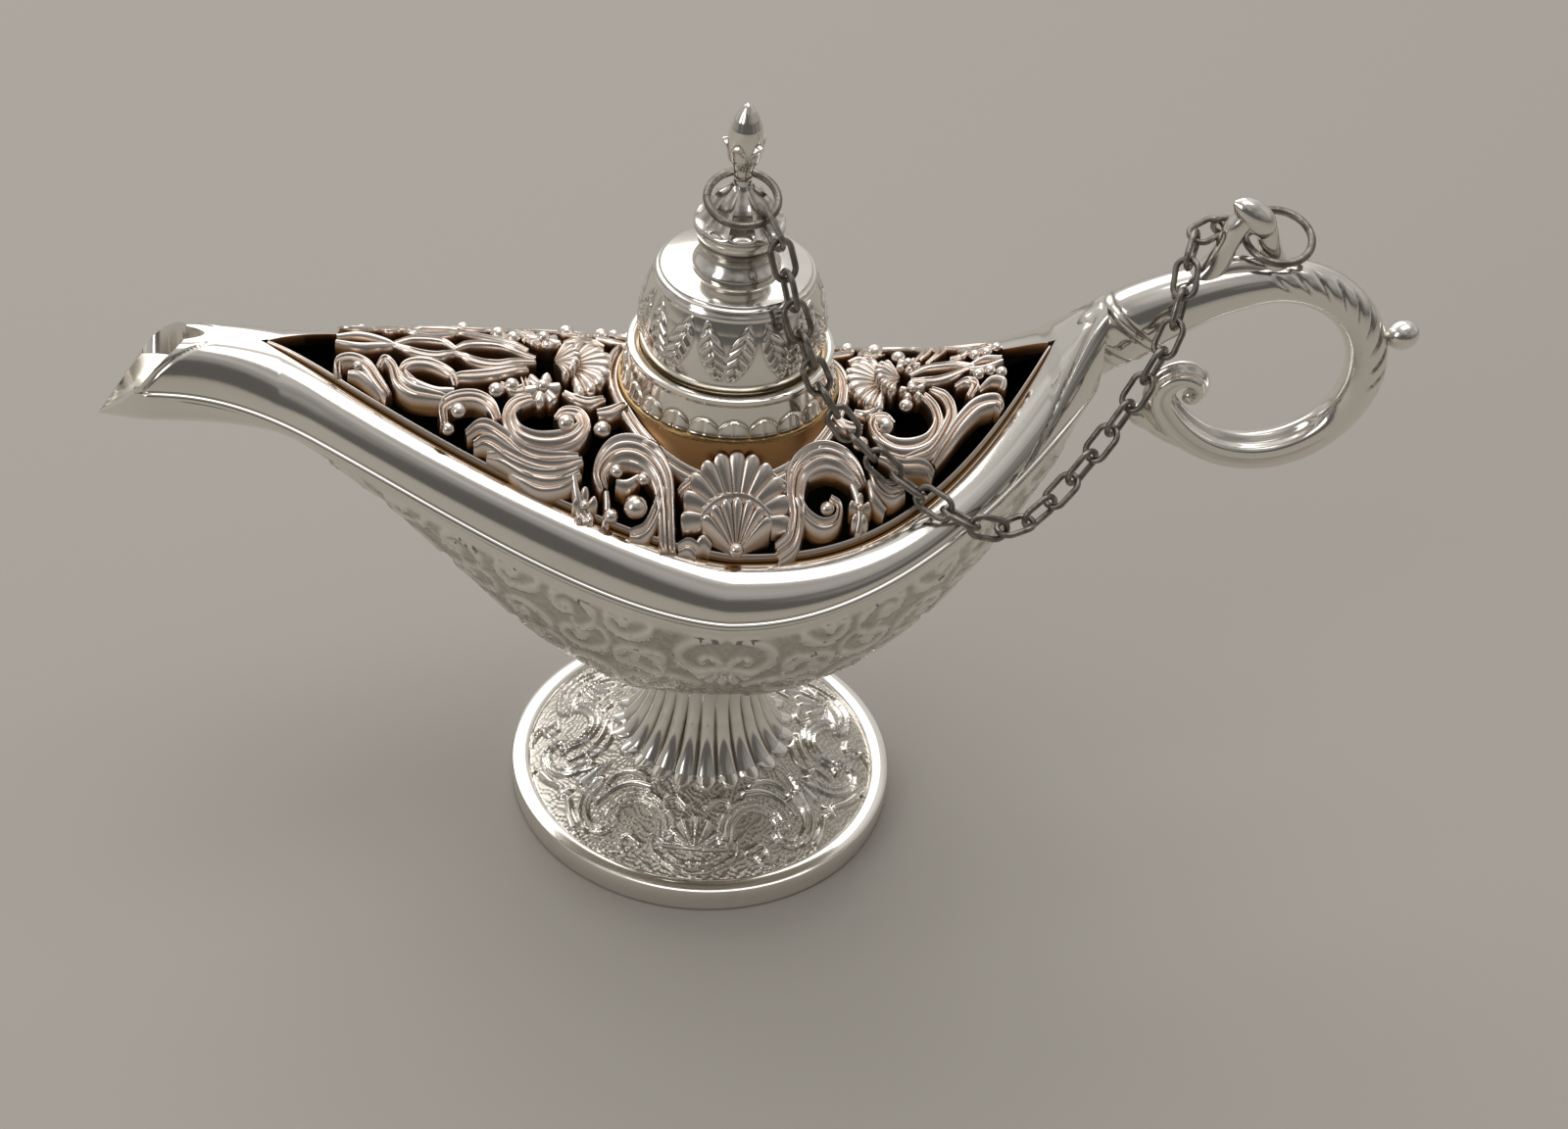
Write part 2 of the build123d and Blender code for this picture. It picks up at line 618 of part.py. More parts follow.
# Finial: a bulb, a thin neck that carries the ring and a pointed bud, turned with its threaded stud
stud_end_z = lid_top_z - LID_WALL - NUT_HEIGHT - STUD_TAIL
with BuildPart() as finial:
    with BuildSketch(Plane.XZ):
        with BuildLine():
            bulb = Spline(
                (FINIAL_BASE_RADIUS, lid_top_z + FINIAL_BASE_HEIGHT),
                (FINIAL_WAIST_RADIUS, lid_top_z + FINIAL_WAIST_HEIGHT),
                (FINIAL_BULB_RADIUS, lid_top_z + FINIAL_BULB_HEIGHT),
                (FINIAL_SHOULDER_RADIUS, lid_top_z + FINIAL_SHOULDER_HEIGHT),
            )
            neck = Line(bulb @ 1, (FINIAL_NECK_RADIUS, lid_top_z + FINIAL_NECK_HEIGHT))
            Spline(
                neck @ 1,
                (FINIAL_BUD_RADIUS, lid_top_z + FINIAL_BUD_HEIGHT),
                (0, lid_top_z + FINIAL_HEIGHT),
            )
            Polyline(
                (0, lid_top_z + FINIAL_HEIGHT),
                (0, stud_end_z),
                (STUD_RADIUS, stud_end_z),
                (STUD_RADIUS, lid_top_z),
                (FINIAL_BASE_RADIUS, lid_top_z),
                bulb @ 0,
            )
        make_face()
    revolve(axis=Axis.Z)
finial.part.label = "finial"
export_step(finial.part, "parts/finial.step")

# Hexagon nut on the stud, under the lid's top
with BuildPart() as finial_nut:
    with BuildSketch(Plane.XY.offset(lid_top_z - LID_WALL)):
        RegularPolygon(NUT_ACROSS_FLATS / 2, 6, major_radius=False)
        Circle(STUD_RADIUS + STUD_CLEARANCE / 2, mode=Mode.SUBTRACT)
    extrude(amount=-NUT_HEIGHT)
finial_nut.part.label = "finial_nut"
export_step(finial_nut.part, "parts/finial_nut.step")

# Handle: root on the tail, tube along tangent bends, lug for the ring, knob, bud and a tenon in the tail
root_x = TAIL_X + HANDLE_SEAT_GAP
root_z = (keel_z(TAIL_X) + rim_z(TAIL_X)) / 2
with BuildLine(Plane.XZ) as handle_line:
    heading = Vector(1, 0).rotate(Axis.Z, HANDLE_ROOT_ANGLE)
    bend = JernArc((TAIL_X, root_z), (heading.X, 0, heading.Y), *HANDLE_BENDS[0][:2])
    handle_bends = [bend]
    for radius, sweep_angle, tube_radii in HANDLE_BENDS[1:]:
        bend = JernArc(bend @ 1, bend % 1, radius, sweep_angle)
        handle_bends.append(bend)
handle_root = Vector(TAIL_X, 0, root_z)
knob_point = handle_root + Vector(KNOB_PLACE[0], 0, KNOB_PLACE[1])
loop_centre = handle_bends[1].arc_center
bud_root = handle_root + Vector(BUD_ROOT[0], 0, BUD_ROOT[1])
bud_tip = handle_root + Vector(BUD_TIP[0], 0, BUD_TIP[1])
lug_outline = [(TAIL_X + x, root_z + z) for x, z in LUG_OUTLINE]
with BuildPart() as handle:
    with BuildSketch(Plane.YZ.offset(root_x)):
        with Locations((0, root_z)):
            Ellipse(HANDLE_ROOT_HALF_WIDTH, HANDLE_ROOT_HALF_HEIGHT)
    for bend, (radius, sweep_angle, tube_radii) in zip(handle_bends, HANDLE_BENDS):
        for step, tube_radius in enumerate(tube_radii, 1):
            share = step / len(tube_radii)
            with BuildSketch(Plane(bend @ share, x_dir=(0, 1, 0), z_dir=bend % share)):
                Circle(tube_radius)
    loft()
    with Locations(handle_bends[-1] @ 1):
        Sphere(CURL_END_RADIUS)
    with BuildSketch(Plane.XZ):
        with BuildLine():
            Polyline(*lug_outline, close=True)
        make_face()
        with Locations((TAIL_X + LUG_HOLE[0], root_z + LUG_HOLE[1])):
            Circle(LUG_HOLE_RADIUS, mode=Mode.SUBTRACT)
    extrude(amount=LUG_THICKNESS / 2, both=True)
    fillet(handle.edges().filter_by(Axis.Y).group_by(Axis.Z)[-1], LUG_CORNER)
    with BuildSketch(Plane(knob_point, z_dir=loop_centre - knob_point)):
        Circle(KNOB_NECK_RADIUS)
    extrude(amount=2 * KNOB_RADIUS)
    with Locations(knob_point):
        Sphere(KNOB_RADIUS)
    with BuildSketch(Plane(bud_tip, z_dir=bud_root - bud_tip)):
        Circle(BUD_STEM_RADIUS)
    extrude(amount=(bud_root - bud_tip).length)
    with Locations(bud_tip):
        Sphere(BUD_RADIUS)
    with BuildSketch(Plane.YZ.offset(root_x)):
        with Locations((0, tenon_z)):
            Circle(TENON_RADIUS)
    extrude(amount=-TENON_LENGTH)
handle.part.label = "handle"
export_step(handle.part, "parts/handle.step")

# Ring round the finial's neck, lower at the front
with BuildPart() as finial_ring:
    with Locations(Vector(0, 0, lid_top_z) + Vector(FINIAL_RING_CENTRE)):
        Torus(RING_RADIUS, RING_WIRE / 2, rotation=(RING_TILT, 0, 0))
finial_ring.part.label = "finial_ring"
export_step(finial_ring.part, "parts/finial_ring.step")

# Ring through the hole in the handle's lug
with BuildPart() as handle_ring:
    with Locations(handle_root + Vector(HANDLE_RING_CENTRE)):
        Torus(RING_RADIUS, RING_WIRE / 2, rotation=(RING_TILT, 0, 0))
handle_ring.part.label = "handle_ring"
export_step(handle_ring.part, "parts/handle_ring.step")

# Chain: equal links along the route, every other one turned a quarter
route_points = []
for number, (x, y, height) in enumerate(CHAIN_ROUTE):
    share = number / (len(CHAIN_ROUTE) - 1)
    sideways = 1 + 2 * share * (1 - share) * (plan_scale - 1)
    route_points.append((x, y * sideways, lid_top_z + (root_z - lid_top_z) * share + height))
with BuildLine() as chain_line:
    route = Spline(*route_points)
pitch = route.length / LINK_COUNT
link_bend = (LINK_WIDTH - CHAIN_WIRE) / 2
link_straight = pitch + CHAIN_WIRE + LINK_PLAY - 2 * link_bend
with BuildLine() as link_line:
    near = Line((-link_straight / 2, -link_bend), (link_straight / 2, -link_bend))
    JernArc(near @ 1, near % 1, link_bend, 180)
    far = Line((link_straight / 2, link_bend), (-link_straight / 2, link_bend))
    JernArc(far @ 1, far % 1, link_bend, 180)
with BuildPart() as link:
    with BuildSketch(Plane(link_line.line @ 0, z_dir=link_line.line % 0)):
        Circle(CHAIN_WIRE / 2)
    sweep(path=link_line.line)
facing = Vector(FIRST_LINK_FACING)
for number in range(LINK_COUNT):
    start = route @ (number / LINK_COUNT)
    end = route @ ((number + 1) / LINK_COUNT)
    along = (end - start).normalized()
    carried = (facing - along * facing.dot(along)).normalized()
    facing = carried.rotate(Axis((0, 0, 0), along), LINK_TWIST)
    link_normal = along.cross(facing) if number % 2 else facing
    with BuildPart() as chain_link:
        with Locations(Plane((start + end) / 2, x_dir=along, z_dir=link_normal)):
            add(link.part)
    label = f"chain_link_{number + 1:02d}"
    chain_link.part.label = label
    export_step(chain_link.part, f"parts/{label}.step")
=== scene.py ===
import bmesh
import bpy
import math
import numpy as np
from mathutils import Matrix, Vector


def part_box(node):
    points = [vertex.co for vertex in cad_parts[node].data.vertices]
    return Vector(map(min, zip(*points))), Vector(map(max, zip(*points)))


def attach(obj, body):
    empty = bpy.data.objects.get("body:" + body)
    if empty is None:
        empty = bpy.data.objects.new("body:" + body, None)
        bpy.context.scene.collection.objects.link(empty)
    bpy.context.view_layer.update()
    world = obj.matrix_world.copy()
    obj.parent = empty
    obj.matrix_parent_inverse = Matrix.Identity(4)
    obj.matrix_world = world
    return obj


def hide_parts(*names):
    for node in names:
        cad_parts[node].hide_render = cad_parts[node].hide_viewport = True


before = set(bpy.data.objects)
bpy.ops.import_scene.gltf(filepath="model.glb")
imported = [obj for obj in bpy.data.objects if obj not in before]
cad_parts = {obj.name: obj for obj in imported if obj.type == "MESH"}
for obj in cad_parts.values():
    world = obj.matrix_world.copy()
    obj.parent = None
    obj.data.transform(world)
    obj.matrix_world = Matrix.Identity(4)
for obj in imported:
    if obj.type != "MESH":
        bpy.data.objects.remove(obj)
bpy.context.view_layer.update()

# Foot: a hollow disc of cast zinc under silver plate. Its rim is polished, the ground inside the rim
# is stippled and raised with shells and scrolls, and a fluted trumpet stem rises from the middle.
# The casting stands on the rim's lower edge and carries the bowl on the stem's top.
MM = 0.001
foot_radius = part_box("foot")[1][0] / MM
foot_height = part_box("foot")[1][2] / MM
foot_sides, stem_flutes = 720, 22
stem_low = 8.0


class Sheen:
    """A shader value; sums and products with it add the nodes that work them out."""

    def __init__(self, tree, socket=None):
        self.tree = tree
        self.socket = socket

    def node(self, kind, settings, values, out=0):
        made = self.tree.nodes.new(kind)
        for name, value in settings.items():
            setattr(made, name, value)
        for name, value in values.items():
            if isinstance(value, Sheen):
                value.feed(made, name)
            else:
                made.inputs[name].default_value = value
        return Sheen(self.tree, made.outputs[out])

    def feed(self, node, name):
        self.tree.links.new(self.socket, node.inputs[name])

    def sum_of(self, operation, first, second):
        return self.node("ShaderNodeMath", {"operation": operation}, {0: first, 1: second})

    def __add__(self, other):
        return self.sum_of("ADD", self, other)

    def __radd__(self, other):
        return self.sum_of("ADD", other, self)

    def __sub__(self, other):
        return self.sum_of("SUBTRACT", self, other)

    def __rsub__(self, other):
        return self.sum_of("SUBTRACT", other, self)

    def __mul__(self, other):
        return self.sum_of("MULTIPLY", self, other)

    def __rmul__(self, other):
        return self.sum_of("MULTIPLY", other, self)

    def clipped(self, low, high):
        """The value's place between two levels, held to 0 and 1."""
        values = {"Value": self, "From Min": low, "From Max": high}
        return self.node("ShaderNodeMapRange", {"clamp": True}, values)

    def tint(self, low, high):
        """A colour between two, by this value."""
        return self.node("ShaderNodeMix", {"data_type": "RGBA"}, {0: self, 6: low, 7: high}, 2)

    def speckle(self, scale, detail):
        """Noise over this value, which is a place."""
        values = {"Vector": self, "Scale": scale, "Detail": detail}
        return self.node("ShaderNodeTexNoise", {}, values, "Fac")

    def dents(self, strength, depth):
        """Bumps of this height."""
        values = {"Height": self, "Strength": strength, "Distance": depth}
        return self.node("ShaderNodeBump", {}, values)


def bare_metal(name):
    """A new metal, its shader, and the place on the piece that its nodes start from."""
    material = bpy.data.materials.new(name)
    material.use_nodes = True
    shader = material.node_tree.nodes["Principled BSDF"]
    shader.inputs["Metallic"].default_value = 1.0
    return material, shader, Sheen(material.node_tree).node("ShaderNodeTexCoord", {}, {}, "Object")


def plate(name, bright, film, polish, dulled):
    """Cast metal under bright plate: a tarnish film in the deep places, also used as painted shade at a few
    marks, near-black painted shade inside, fine wear on the rest.
    """
    material, shader, place = bare_metal(name)
    deep = place.node("ShaderNodeAttribute", {"attribute_name": "recess"}, {}, "Fac")
    inside = place.node("ShaderNodeAttribute", {"attribute_name": "inside"}, {}, "Fac")
    cloud = place.speckle(160.0, 4.0)
    grain = place.speckle(2600.0, 2.0)
    # The deep places take the tarnish film, which a few marks also use as painted shade; the inside takes
    # near-black painted shade.
    tarnish_and_shade = (deep * 1.15 + cloud.clipped(0.5, 0.8) * 0.3 - 0.12).clipped(0.0, 1.0)
    painted_inner_shade = (0.035, 0.030, 0.026, 1.0)
    rough = polish + cloud * 0.05 + grain.clipped(0.4, 0.8) * 0.03 + tarnish_and_shade * dulled + inside * 0.45
    inside.tint(tarnish_and_shade.tint((*bright, 1.0), (*film, 1.0)), painted_inner_shade).feed(shader, "Base Color")
    rough.feed(shader, "Roughness")
    (cloud + grain * 0.06).dents(0.05, 0.0004).feed(shader, "Normal")
    return material


silver = plate("silver_plate", (0.87, 0.84, 0.79), (0.30, 0.26, 0.20), 0.09, 0.25)


def row_of(grid, row, start=0):
    """One row of a grid's points, as a face."""
    columns = grid.shape[1]
    return [start + row % len(grid) * columns + k for k in range(columns)]


def weave(grid, start=0, wrap=False, capped=False):
    """Quads over a grid of points; wrap joins the last column to the first, capped closes both ends."""
    rows, columns = grid.shape[:2]
    across = np.arange(columns if wrap else columns - 1)
    row, column = np.meshgrid(np.arange(rows - 1), across, indexing="ij")
    here = start + row * columns + column
    beside = start + row * columns + (column + 1) % columns
    quads = np.stack([here, beside, beside + columns, here + columns], axis=-1).reshape(-1, 4).tolist()
    return quads + ([row_of(grid, 0, start), row_of(grid, -1, start)] if capped else [])


def cast(name, points, faces, finish, body, node=None, recess=None, inside=None,
         crease=38):
    """One piece from points in millimetres, smoothed, on its body and in its CAD node's stead."""
    mesh = bpy.data.meshes.new(name)
    mesh.from_pydata((np.asarray(points).reshape(-1, 3) * MM).tolist(), [], faces)
    for layer, level in (("recess", recess), ("inside", inside)):
        if level is not None:
            film = mesh.attributes.new(layer, "FLOAT", "POINT")
            film.data.foreach_set("value", np.clip(level, 0, 1).astype(np.float32).ravel())
    metal = bmesh.new()
    metal.from_mesh(mesh)
    bmesh.ops.remove_doubles(metal, verts=metal.verts, dist=2e-6)
    bmesh.ops.recalc_face_normals(metal, faces=metal.faces)
    metal.to_mesh(mesh)
    metal.free()
    mesh.polygons.foreach_set("use_smooth", [True] * len(mesh.polygons))
    mesh.set_sharp_from_angle(angle=math.radians(crease))
    mesh.materials.append(finish)
    piece = bpy.data.objects.new(name, mesh)
    bpy.context.scene.collection.objects.link(piece)
    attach(piece, body)
    if node:
        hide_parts(node)


def places(*coordinates):
    """Points from their coordinates."""
    return np.stack(np.broadcast_arrays(*coordinates), axis=-1)


def full_turn(sides):
    """Angles in equal steps once round."""
    return np.linspace(0, 2 * np.pi, sides, endpoint=False)


def turned(profile, sides):
    """A profile of radius and height turned about the upright axis, one row for each of its points."""
    profile = np.asarray(profile, float)
    angle = full_turn(sides)
    radius, height = profile[:, :1], profile[:, 1:]
    return places(radius * np.cos(angle), radius * np.sin(angle), height), angle


def unit(arrows):
    """The same directions with length 1."""
    return arrows / np.maximum(np.linalg.norm(arrows, axis=-1, keepdims=True), 1e-9)


def raised(grid, relief, wrap=True):
    """A grid of points moved along its surface's normals by a relief."""
    along = np.gradient(grid, axis=0)
    across = np.roll(grid, -1, 1) - np.roll(grid, 1, 1) if wrap else np.gradient(grid, axis=1)
    return grid + unit(np.cross(across, along)) * relief[..., None]


def flow(marks, steps=10):
    """A smooth line through marks, each a place with or without a width."""
    marks = np.asarray(marks, float)
    marks = np.concatenate([[2 * marks[0] - marks[1]], marks, [2 * marks[-1] - marks[-2]]])
    t = np.linspace(0, 1, steps, endpoint=False)[:, None]
    runs = []
    for a, b, c, d in zip(marks, marks[1:], marks[2:], marks[3:]):
        run = b + t * (c - a) / 2 + t**2 * (a - 2.5 * b + 2 * c - d / 2)
        runs.append(run + t**3 * (1.5 * (b - c) + (d - a) / 2))
    return np.concatenate(runs + [marks[-2:-1]])


def ridge(where, line, wide, narrow, height, cords=1):
    """Height of a rounded ridge along a line, tapering from wide to narrow, split into cords by grooves."""
    flat = where.reshape(-1, 2)
    reach = max(wide, narrow) / 2
    near = np.all((flat > line.min(0) - reach) & (flat < line.max(0) + reach), axis=1)
    gap = np.linalg.norm(flat[near][:, None] - line[None], axis=-1)
    width = (wide + (narrow - wide) * gap.argmin(1) / (len(line) - 1)) / 2
    share = np.clip(gap.min(1) / width, 0, 1)
    swell = np.sqrt(1 - share**2) * (0.66 + 0.34 * np.cos(np.pi * (cords * share + cords + 1)))
    out = np.zeros(len(flat))
    out[near] = height * swell
    return out.reshape(where.shape[:-1])


def stipple(x, y, pitch):
    """A fine pebbled ground, from -1 to 1."""
    k = 2 * np.pi / pitch
    return np.sin(k * x + 1.7 * np.sin(0.37 * k * y)) * np.sin(k * y + 1.7 * np.sin(0.41 * k * x))


rim_rows = [
    (20.75, 0.0), (22.0, 0.0), (22.35, 0.12), (foot_radius, 0.5), (foot_radius, 1.6), (foot_radius, 2.7),
    (22.36, 3.02), (22.0, 3.2), (21.3, 3.24), (20.75, 3.2), (20.4, 3.0), (20.25, 2.72),
]
slope = np.linspace(0, 1, 96)[1:]
ground_rows = places(20.2 - 11.2 * slope, 2.7 + 5.3 * slope**1.15)
stem_turn = np.linspace(0, 1, 60)[1:]
stem_rows = places(5.6 + 3.4 * (1 - stem_turn) ** 2.3, stem_low + 10.0 * stem_turn)
hollow_rows = [
    (5.75, 19.0), (6.15, 20.2), (6.3, foot_height), (1.6, foot_height), (1.6, 17.0), (3.1, 17.0),
    (3.1, 9.8), (7.2, 6.2), (18.9, 0.9), (20.75, 0.0),
]
foot_profile = np.concatenate([rim_rows, ground_rows, stem_rows, hollow_rows])
foot_grid, around = turned(foot_profile, foot_sides)
foot_r = np.linalg.norm(foot_grid[..., :2], axis=-1)
foot_z = foot_grid[..., 2]
outer_rows = np.zeros((len(foot_profile), 1), bool)
outer_rows[len(rim_rows):-len(hollow_rows)] = True
third = 2 * np.pi / 3
front = -np.pi / 2 - 0.09
fold = np.abs((around - front + third / 2) % third - third / 2) + 0 * foot_r
off_the_ground = 99.0
ground = places(foot_r * np.sin(fold), foot_r * np.cos(fold))
ground[~outer_rows[:, 0]] = off_the_ground
foot_lines = [
    ([(3.4, 15.2), (3.6, 13.6), (4.8, 11.9), (6.7, 11.0), (8.7, 11.4), (9.9, 12.8)], 2.5, 1.4, 0.62, 3),
    ([(11.4, 8.4), (12.8, 9.9), (13.1, 11.8), (12.3, 13.7), (10.7, 14.5), (9.4, 13.7), (9.7, 12.5),
      (10.7, 12.4)], 1.9, 0.9, 0.62, 2),
    ([(5.4, 9.9), (7.6, 9.2), (9.8, 9.6), (11.6, 11.0)], 1.3, 0.6, 0.52, 1),
    ([(0.0, 19.4), (1.9, 19.1), (3.8, 18.0)], 0.9, 0.6, 0.50, 1),
    ([(0.0, 18.4), (1.6, 18.2), (3.0, 17.4)], 0.7, 0.5, 0.45, 1),
    ([(3.8, 18.0), (4.9, 16.9), (4.9, 15.4)], 0.9, 0.5, 0.50, 1),
    ([(13.9, 13.4), (14.6, 11.6), (14.9, 9.8), (15.6, 9.2)], 1.3, 0.7, 0.55, 1),
    ([(8.2, 17.6), (10.6, 17.4), (12.7, 16.2), (13.9, 14.2)], 1.3, 0.6, 0.55, 2),
    ([(6.2, 16.4), (7.6, 15.4), (8.6, 16.2), (7.9, 17.2), (7.1, 16.6)], 1.0, 0.6, 0.50, 1),
    ([(1.2, 12.2), (2.4, 11.2), (3.6, 11.4), (3.6, 12.6), (2.7, 12.7)], 1.0, 0.6, 0.50, 1),
    ([(6.0, 8.9), (7.6, 7.9), (9.4, 7.9), (10.6, 8.8), (10.0, 9.6)], 1.0, 0.6, 0.50, 1),
    ([(10.6, 6.1), (12.1, 7.0), (13.6, 7.9)], 0.5, 1.4, 0.56, 1),
    ([(10.5, 6.3), (11.6, 7.4), (12.4, 8.8)], 0.5, 1.2, 0.52, 1),
    ([(15.1, 8.7), (15.7, 9.1)], 1.5, 1.5, 0.55, 1),
]
for lean in (0, 26, 52, 78):
    turn = math.radians(lean)
    rib_tip = (3.5 * math.sin(turn), 17.0 - 3.5 * math.cos(turn))
    foot_lines.append(([(0.5 * math.sin(turn), 16.8), rib_tip], 0.5, 1.3, 0.60, 1))
foot_relief = np.zeros_like(foot_r)
for marks, wide, narrow, crest, cords in foot_lines:
    foot_relief = np.maximum(foot_relief, ridge(ground, flow(marks), wide, narrow, crest, cords))
pebble = stipple(foot_grid[..., 0], foot_grid[..., 1], 0.8)
on_ground = outer_rows & (foot_z < stem_low)
foot_relief = np.where(on_ground, np.maximum(foot_relief, 0.06 + 0.06 * pebble), foot_relief)
flute = np.abs(np.sin(stem_flutes / 2 * around)) + 0 * foot_r
petal_end = 9.2 + 1.5 * flute**0.7
petal = np.where(outer_rows, np.clip((petal_end - foot_r) / 0.35, 0, 1), 0)
fade = np.clip((18.6 - foot_z) / 5.0, 0, 1)
foot_relief = foot_relief * (1 - petal) + petal * fade * (0.75 * flute**0.6 - 0.1)
foot_recess = np.where(on_ground, np.clip(0.7 - 2.0 * foot_relief, 0, 1), 0)
foot_recess = np.maximum(foot_recess, petal * fade * np.clip(0.55 - flute, 0, 1) * 1.3)
foot_faces = weave(foot_grid, wrap=True)
cast("foot_casting", raised(foot_grid, foot_relief), foot_faces, silver, "lamp", "foot", recess=foot_recess)

# Foot screw: a plain steel machine screw. It goes up through the web under the stem's top and holds
# the bowl down on the foot.
def drawn_steel(name, colour, smooth):
    """Bare drawn wire or turned steel, darker and rougher where it isn't worn."""
    material, shader, place = bare_metal(name)
    patch = place.speckle(900.0, 5.0)
    pit = place.speckle(5200.0, 2.0)
    worn = patch.clipped(0.35, 0.7)
    dark = tuple(0.45 * c for c in colour)
    worn.tint((*dark, 1.0), (*colour, 1.0)).feed(shader, "Base Color")
    (smooth + (1 - worn) * 0.22).feed(shader, "Roughness")
    (pit + patch).dents(0.12, 0.0002).feed(shader, "Normal")
    return material


steel = drawn_steel("fastener_steel", (0.52, 0.51, 0.49), 0.28)


def finish_node(node, material):
    """Give a CAD node that stays in view its finish."""
    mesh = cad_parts[node].data
    mesh.materials.clear()
    mesh.materials.append(material)


finish_node("foot_screw", steel)

# Bowl: the lower half of the boat-shaped body, from the beak's tip to the tail, cast in one with the
# spout's underside. Shells and scrolls stand out from its stippled ground below the seam, the spout is
# left plain, and the inside is painted near-black as shade, except in the beak.
tip_x, tip_z = -66.2, 52.3
roof_x, roof_z = -57.5, 62.9
lip_x = -61.52
tail_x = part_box("bowl")[1][0] / MM
body_half, seam_low, keel_low = 22, 43.1, 21
skin_columns, lining_columns = 221, 61


def ease(share):
    """A share from 0 to 1 that starts and ends softly."""
    share = np.clip(share, 0, 1)
    return share * share * (3 - 2 * share)


def soften(share):
    """A share that comes to rest at 1 without a corner."""
    over = np.clip(share - 0.85, 0, 0.3)
    return np.clip(share, 0, 1.15) - over**2 / 0.6


def peak(off, width):
    """A rounded peak, 1 where off is 0."""
    return np.exp(-((off / width) ** 2))


def half_width(x):
    """Half the body's width at the seam."""
    tail = body_half * (1 - (np.clip(x, 0, None) / 42.5) ** 2.1)
    spout = 4.2 + 17.8 * (1 - soften(x / -50) ** 1.4)
    return np.where(x >= 0, tail, spout * (1 - 0.86 * np.clip((x + 60) / -6.2, 0, 1) ** 2))


def seam_z(x):
    """Height of the seam between the two castings."""
    tail = seam_low + 18.4 * (np.clip(x, 0, None) / 39) ** 1.95
    return np.where(x >= 0, tail, seam_low + 14.9 * ease(x / -60))


def keel_z(x):
    """Height of the body's underside along its middle."""
    tail = keel_low + 38 * (np.clip(x, 0, None) / 39) ** 2.35
    return np.where(x >= 0, tail, keel_low + 31.3 * ease((x + 7.5) / -40.8))


def mouth_z(x):
    """Height at which the spout's slanted mouth cuts the walls."""
    return tip_z + (x - tip_x) * (roof_z - tip_z) / (roof_x - tip_x)


def wall(x):
    """Thickness of the cast walls, thin at the beak."""
    return np.interp(x, (tip_x, roof_x), (0.5, 1.5))


def bowl_skin(x, wide, low, columns):
    """Half an ellipse under the seam at each station, trimmed by the mouth, from the near side to the far."""
    top = seam_z(x)
    trim = np.arcsin(np.clip((top - mouth_z(x)) / (top - low), 0, 1))
    across = np.linspace(-1, 1, columns)
    angle = np.pi / 2 - across * (np.pi / 2 - trim[:, None])
    rise = (top - low)[:, None] * np.sin(angle)
    return places(x[:, None], wide[:, None] * np.cos(angle), top[:, None] - rise)


def scroll(start, heading, bends, step=0.18):
    """Points along tangent arcs, each a radius and a sweep in degrees that turns left where positive."""
    x, y = start
    angle = math.radians(heading)
    points = [(x, y)]
    for radius, sweep in bends:
        count = max(2, int(radius * abs(math.radians(sweep)) / step))
        turn = math.radians(sweep) / count
        chord = 2 * radius * math.sin(abs(turn) / 2)
        for _ in range(count):
            x += chord * math.cos(angle + turn / 2)
            y += chord * math.sin(angle + turn / 2)
            angle += turn
            points.append((x, y))
    return np.array(points)


stations = np.concatenate([np.linspace(tip_x, lip_x, 26)[:-1], np.linspace(lip_x, tail_x, 430)])
bowl_grid = bowl_skin(stations, half_width(stations), keel_z(stations), skin_columns)
bowl_x = bowl_grid[..., 0]
step = np.linalg.norm(np.diff(bowl_grid, axis=1), axis=-1)
from_near = np.concatenate([np.zeros((len(stations), 1)), np.cumsum(step, axis=1)], axis=1)
drop = np.minimum(from_near, from_near[:, -1:] - from_near)
bowl_field = places(np.abs(bowl_x), drop)
bowl_lines = [
    (scroll((0.9, 2.0), 5, [(5.0, 45), (2.7, 140), (1.5, 150), (0.8, 150)]), 1.5, 0.8, 0.66, 3),
    (scroll((2.6, 11.4), -35, [(5.5, 45), (2.2, -170), (1.1, -190)]), 1.4, 0.7, 0.60, 2),
    (scroll((3.2, 17.4), 10, [(6.0, -40), (1.9, 170), (1.0, 170)]), 1.3, 0.7, 0.55, 2),
    (scroll((36.5, 3.6), -14, [(20.0, 14)]), 1.1, 0.4, 0.45, 1),
]
for row, (level, size) in enumerate(((3.4, 0.92), (8.6, 1.0), (14.2, 1.05))):
    for number in range(6 - row):
        out = 8.2 + 5.9 * number - 1.6 * row
        sense = 1 if (number + row) % 2 else -1
        shrink = size * (1 - 0.05 * number)
        bends = [(3.4 * shrink, sense * 55), (1.9 * shrink, sense * 140), (1.0 * shrink, sense * 200)]
        bowl_lines.append((scroll((out, level), -sense * 62, bends), 1.3, 0.7, 0.58, 2))
        tail = [(2.8 * shrink, -sense * 70), (1.1 * shrink, -sense * 150)]
        bowl_lines.append((scroll((out, level), 180 - sense * 62, tail), 1.0, 0.5, 0.48, 1))
        for lean in (-40, 0, 40):
            turn = math.radians(lean + 90 * sense)
            leaf_tip = (out + 2.9 + 1.7 * math.cos(turn), level + 1.7 * math.sin(turn))
            bowl_lines.append((np.linspace((out + 2.9, level), leaf_tip, 10), 0.5, 0.8, 0.45, 1))
for lean in (-72, -48, -24, 0, 24, 48, 72):
    turn = math.radians(90 - lean)
    rib_root = (0.35 * math.sin(math.radians(lean)), 7.0)
    rib_tip = (3.3 * math.cos(turn), 7.2 + 3.4 * math.sin(turn))
    bowl_lines.append((np.linspace(rib_root, rib_tip, 14), 0.5, 1.3, 0.60, 1))
bowl_relief = 0.09 + 0.11 * stipple(bowl_field[..., 0], bowl_field[..., 1], 1.0)
for line, wide, narrow, crest, cords in bowl_lines:
    bowl_relief = np.maximum(bowl_relief, ridge(bowl_field, line, wide, narrow, crest, cords))
beside = bowl_relief[1:-1, :-2] + bowl_relief[1:-1, 2:] + bowl_relief[:-2, 1:-1] + bowl_relief[2:, 1:-1]
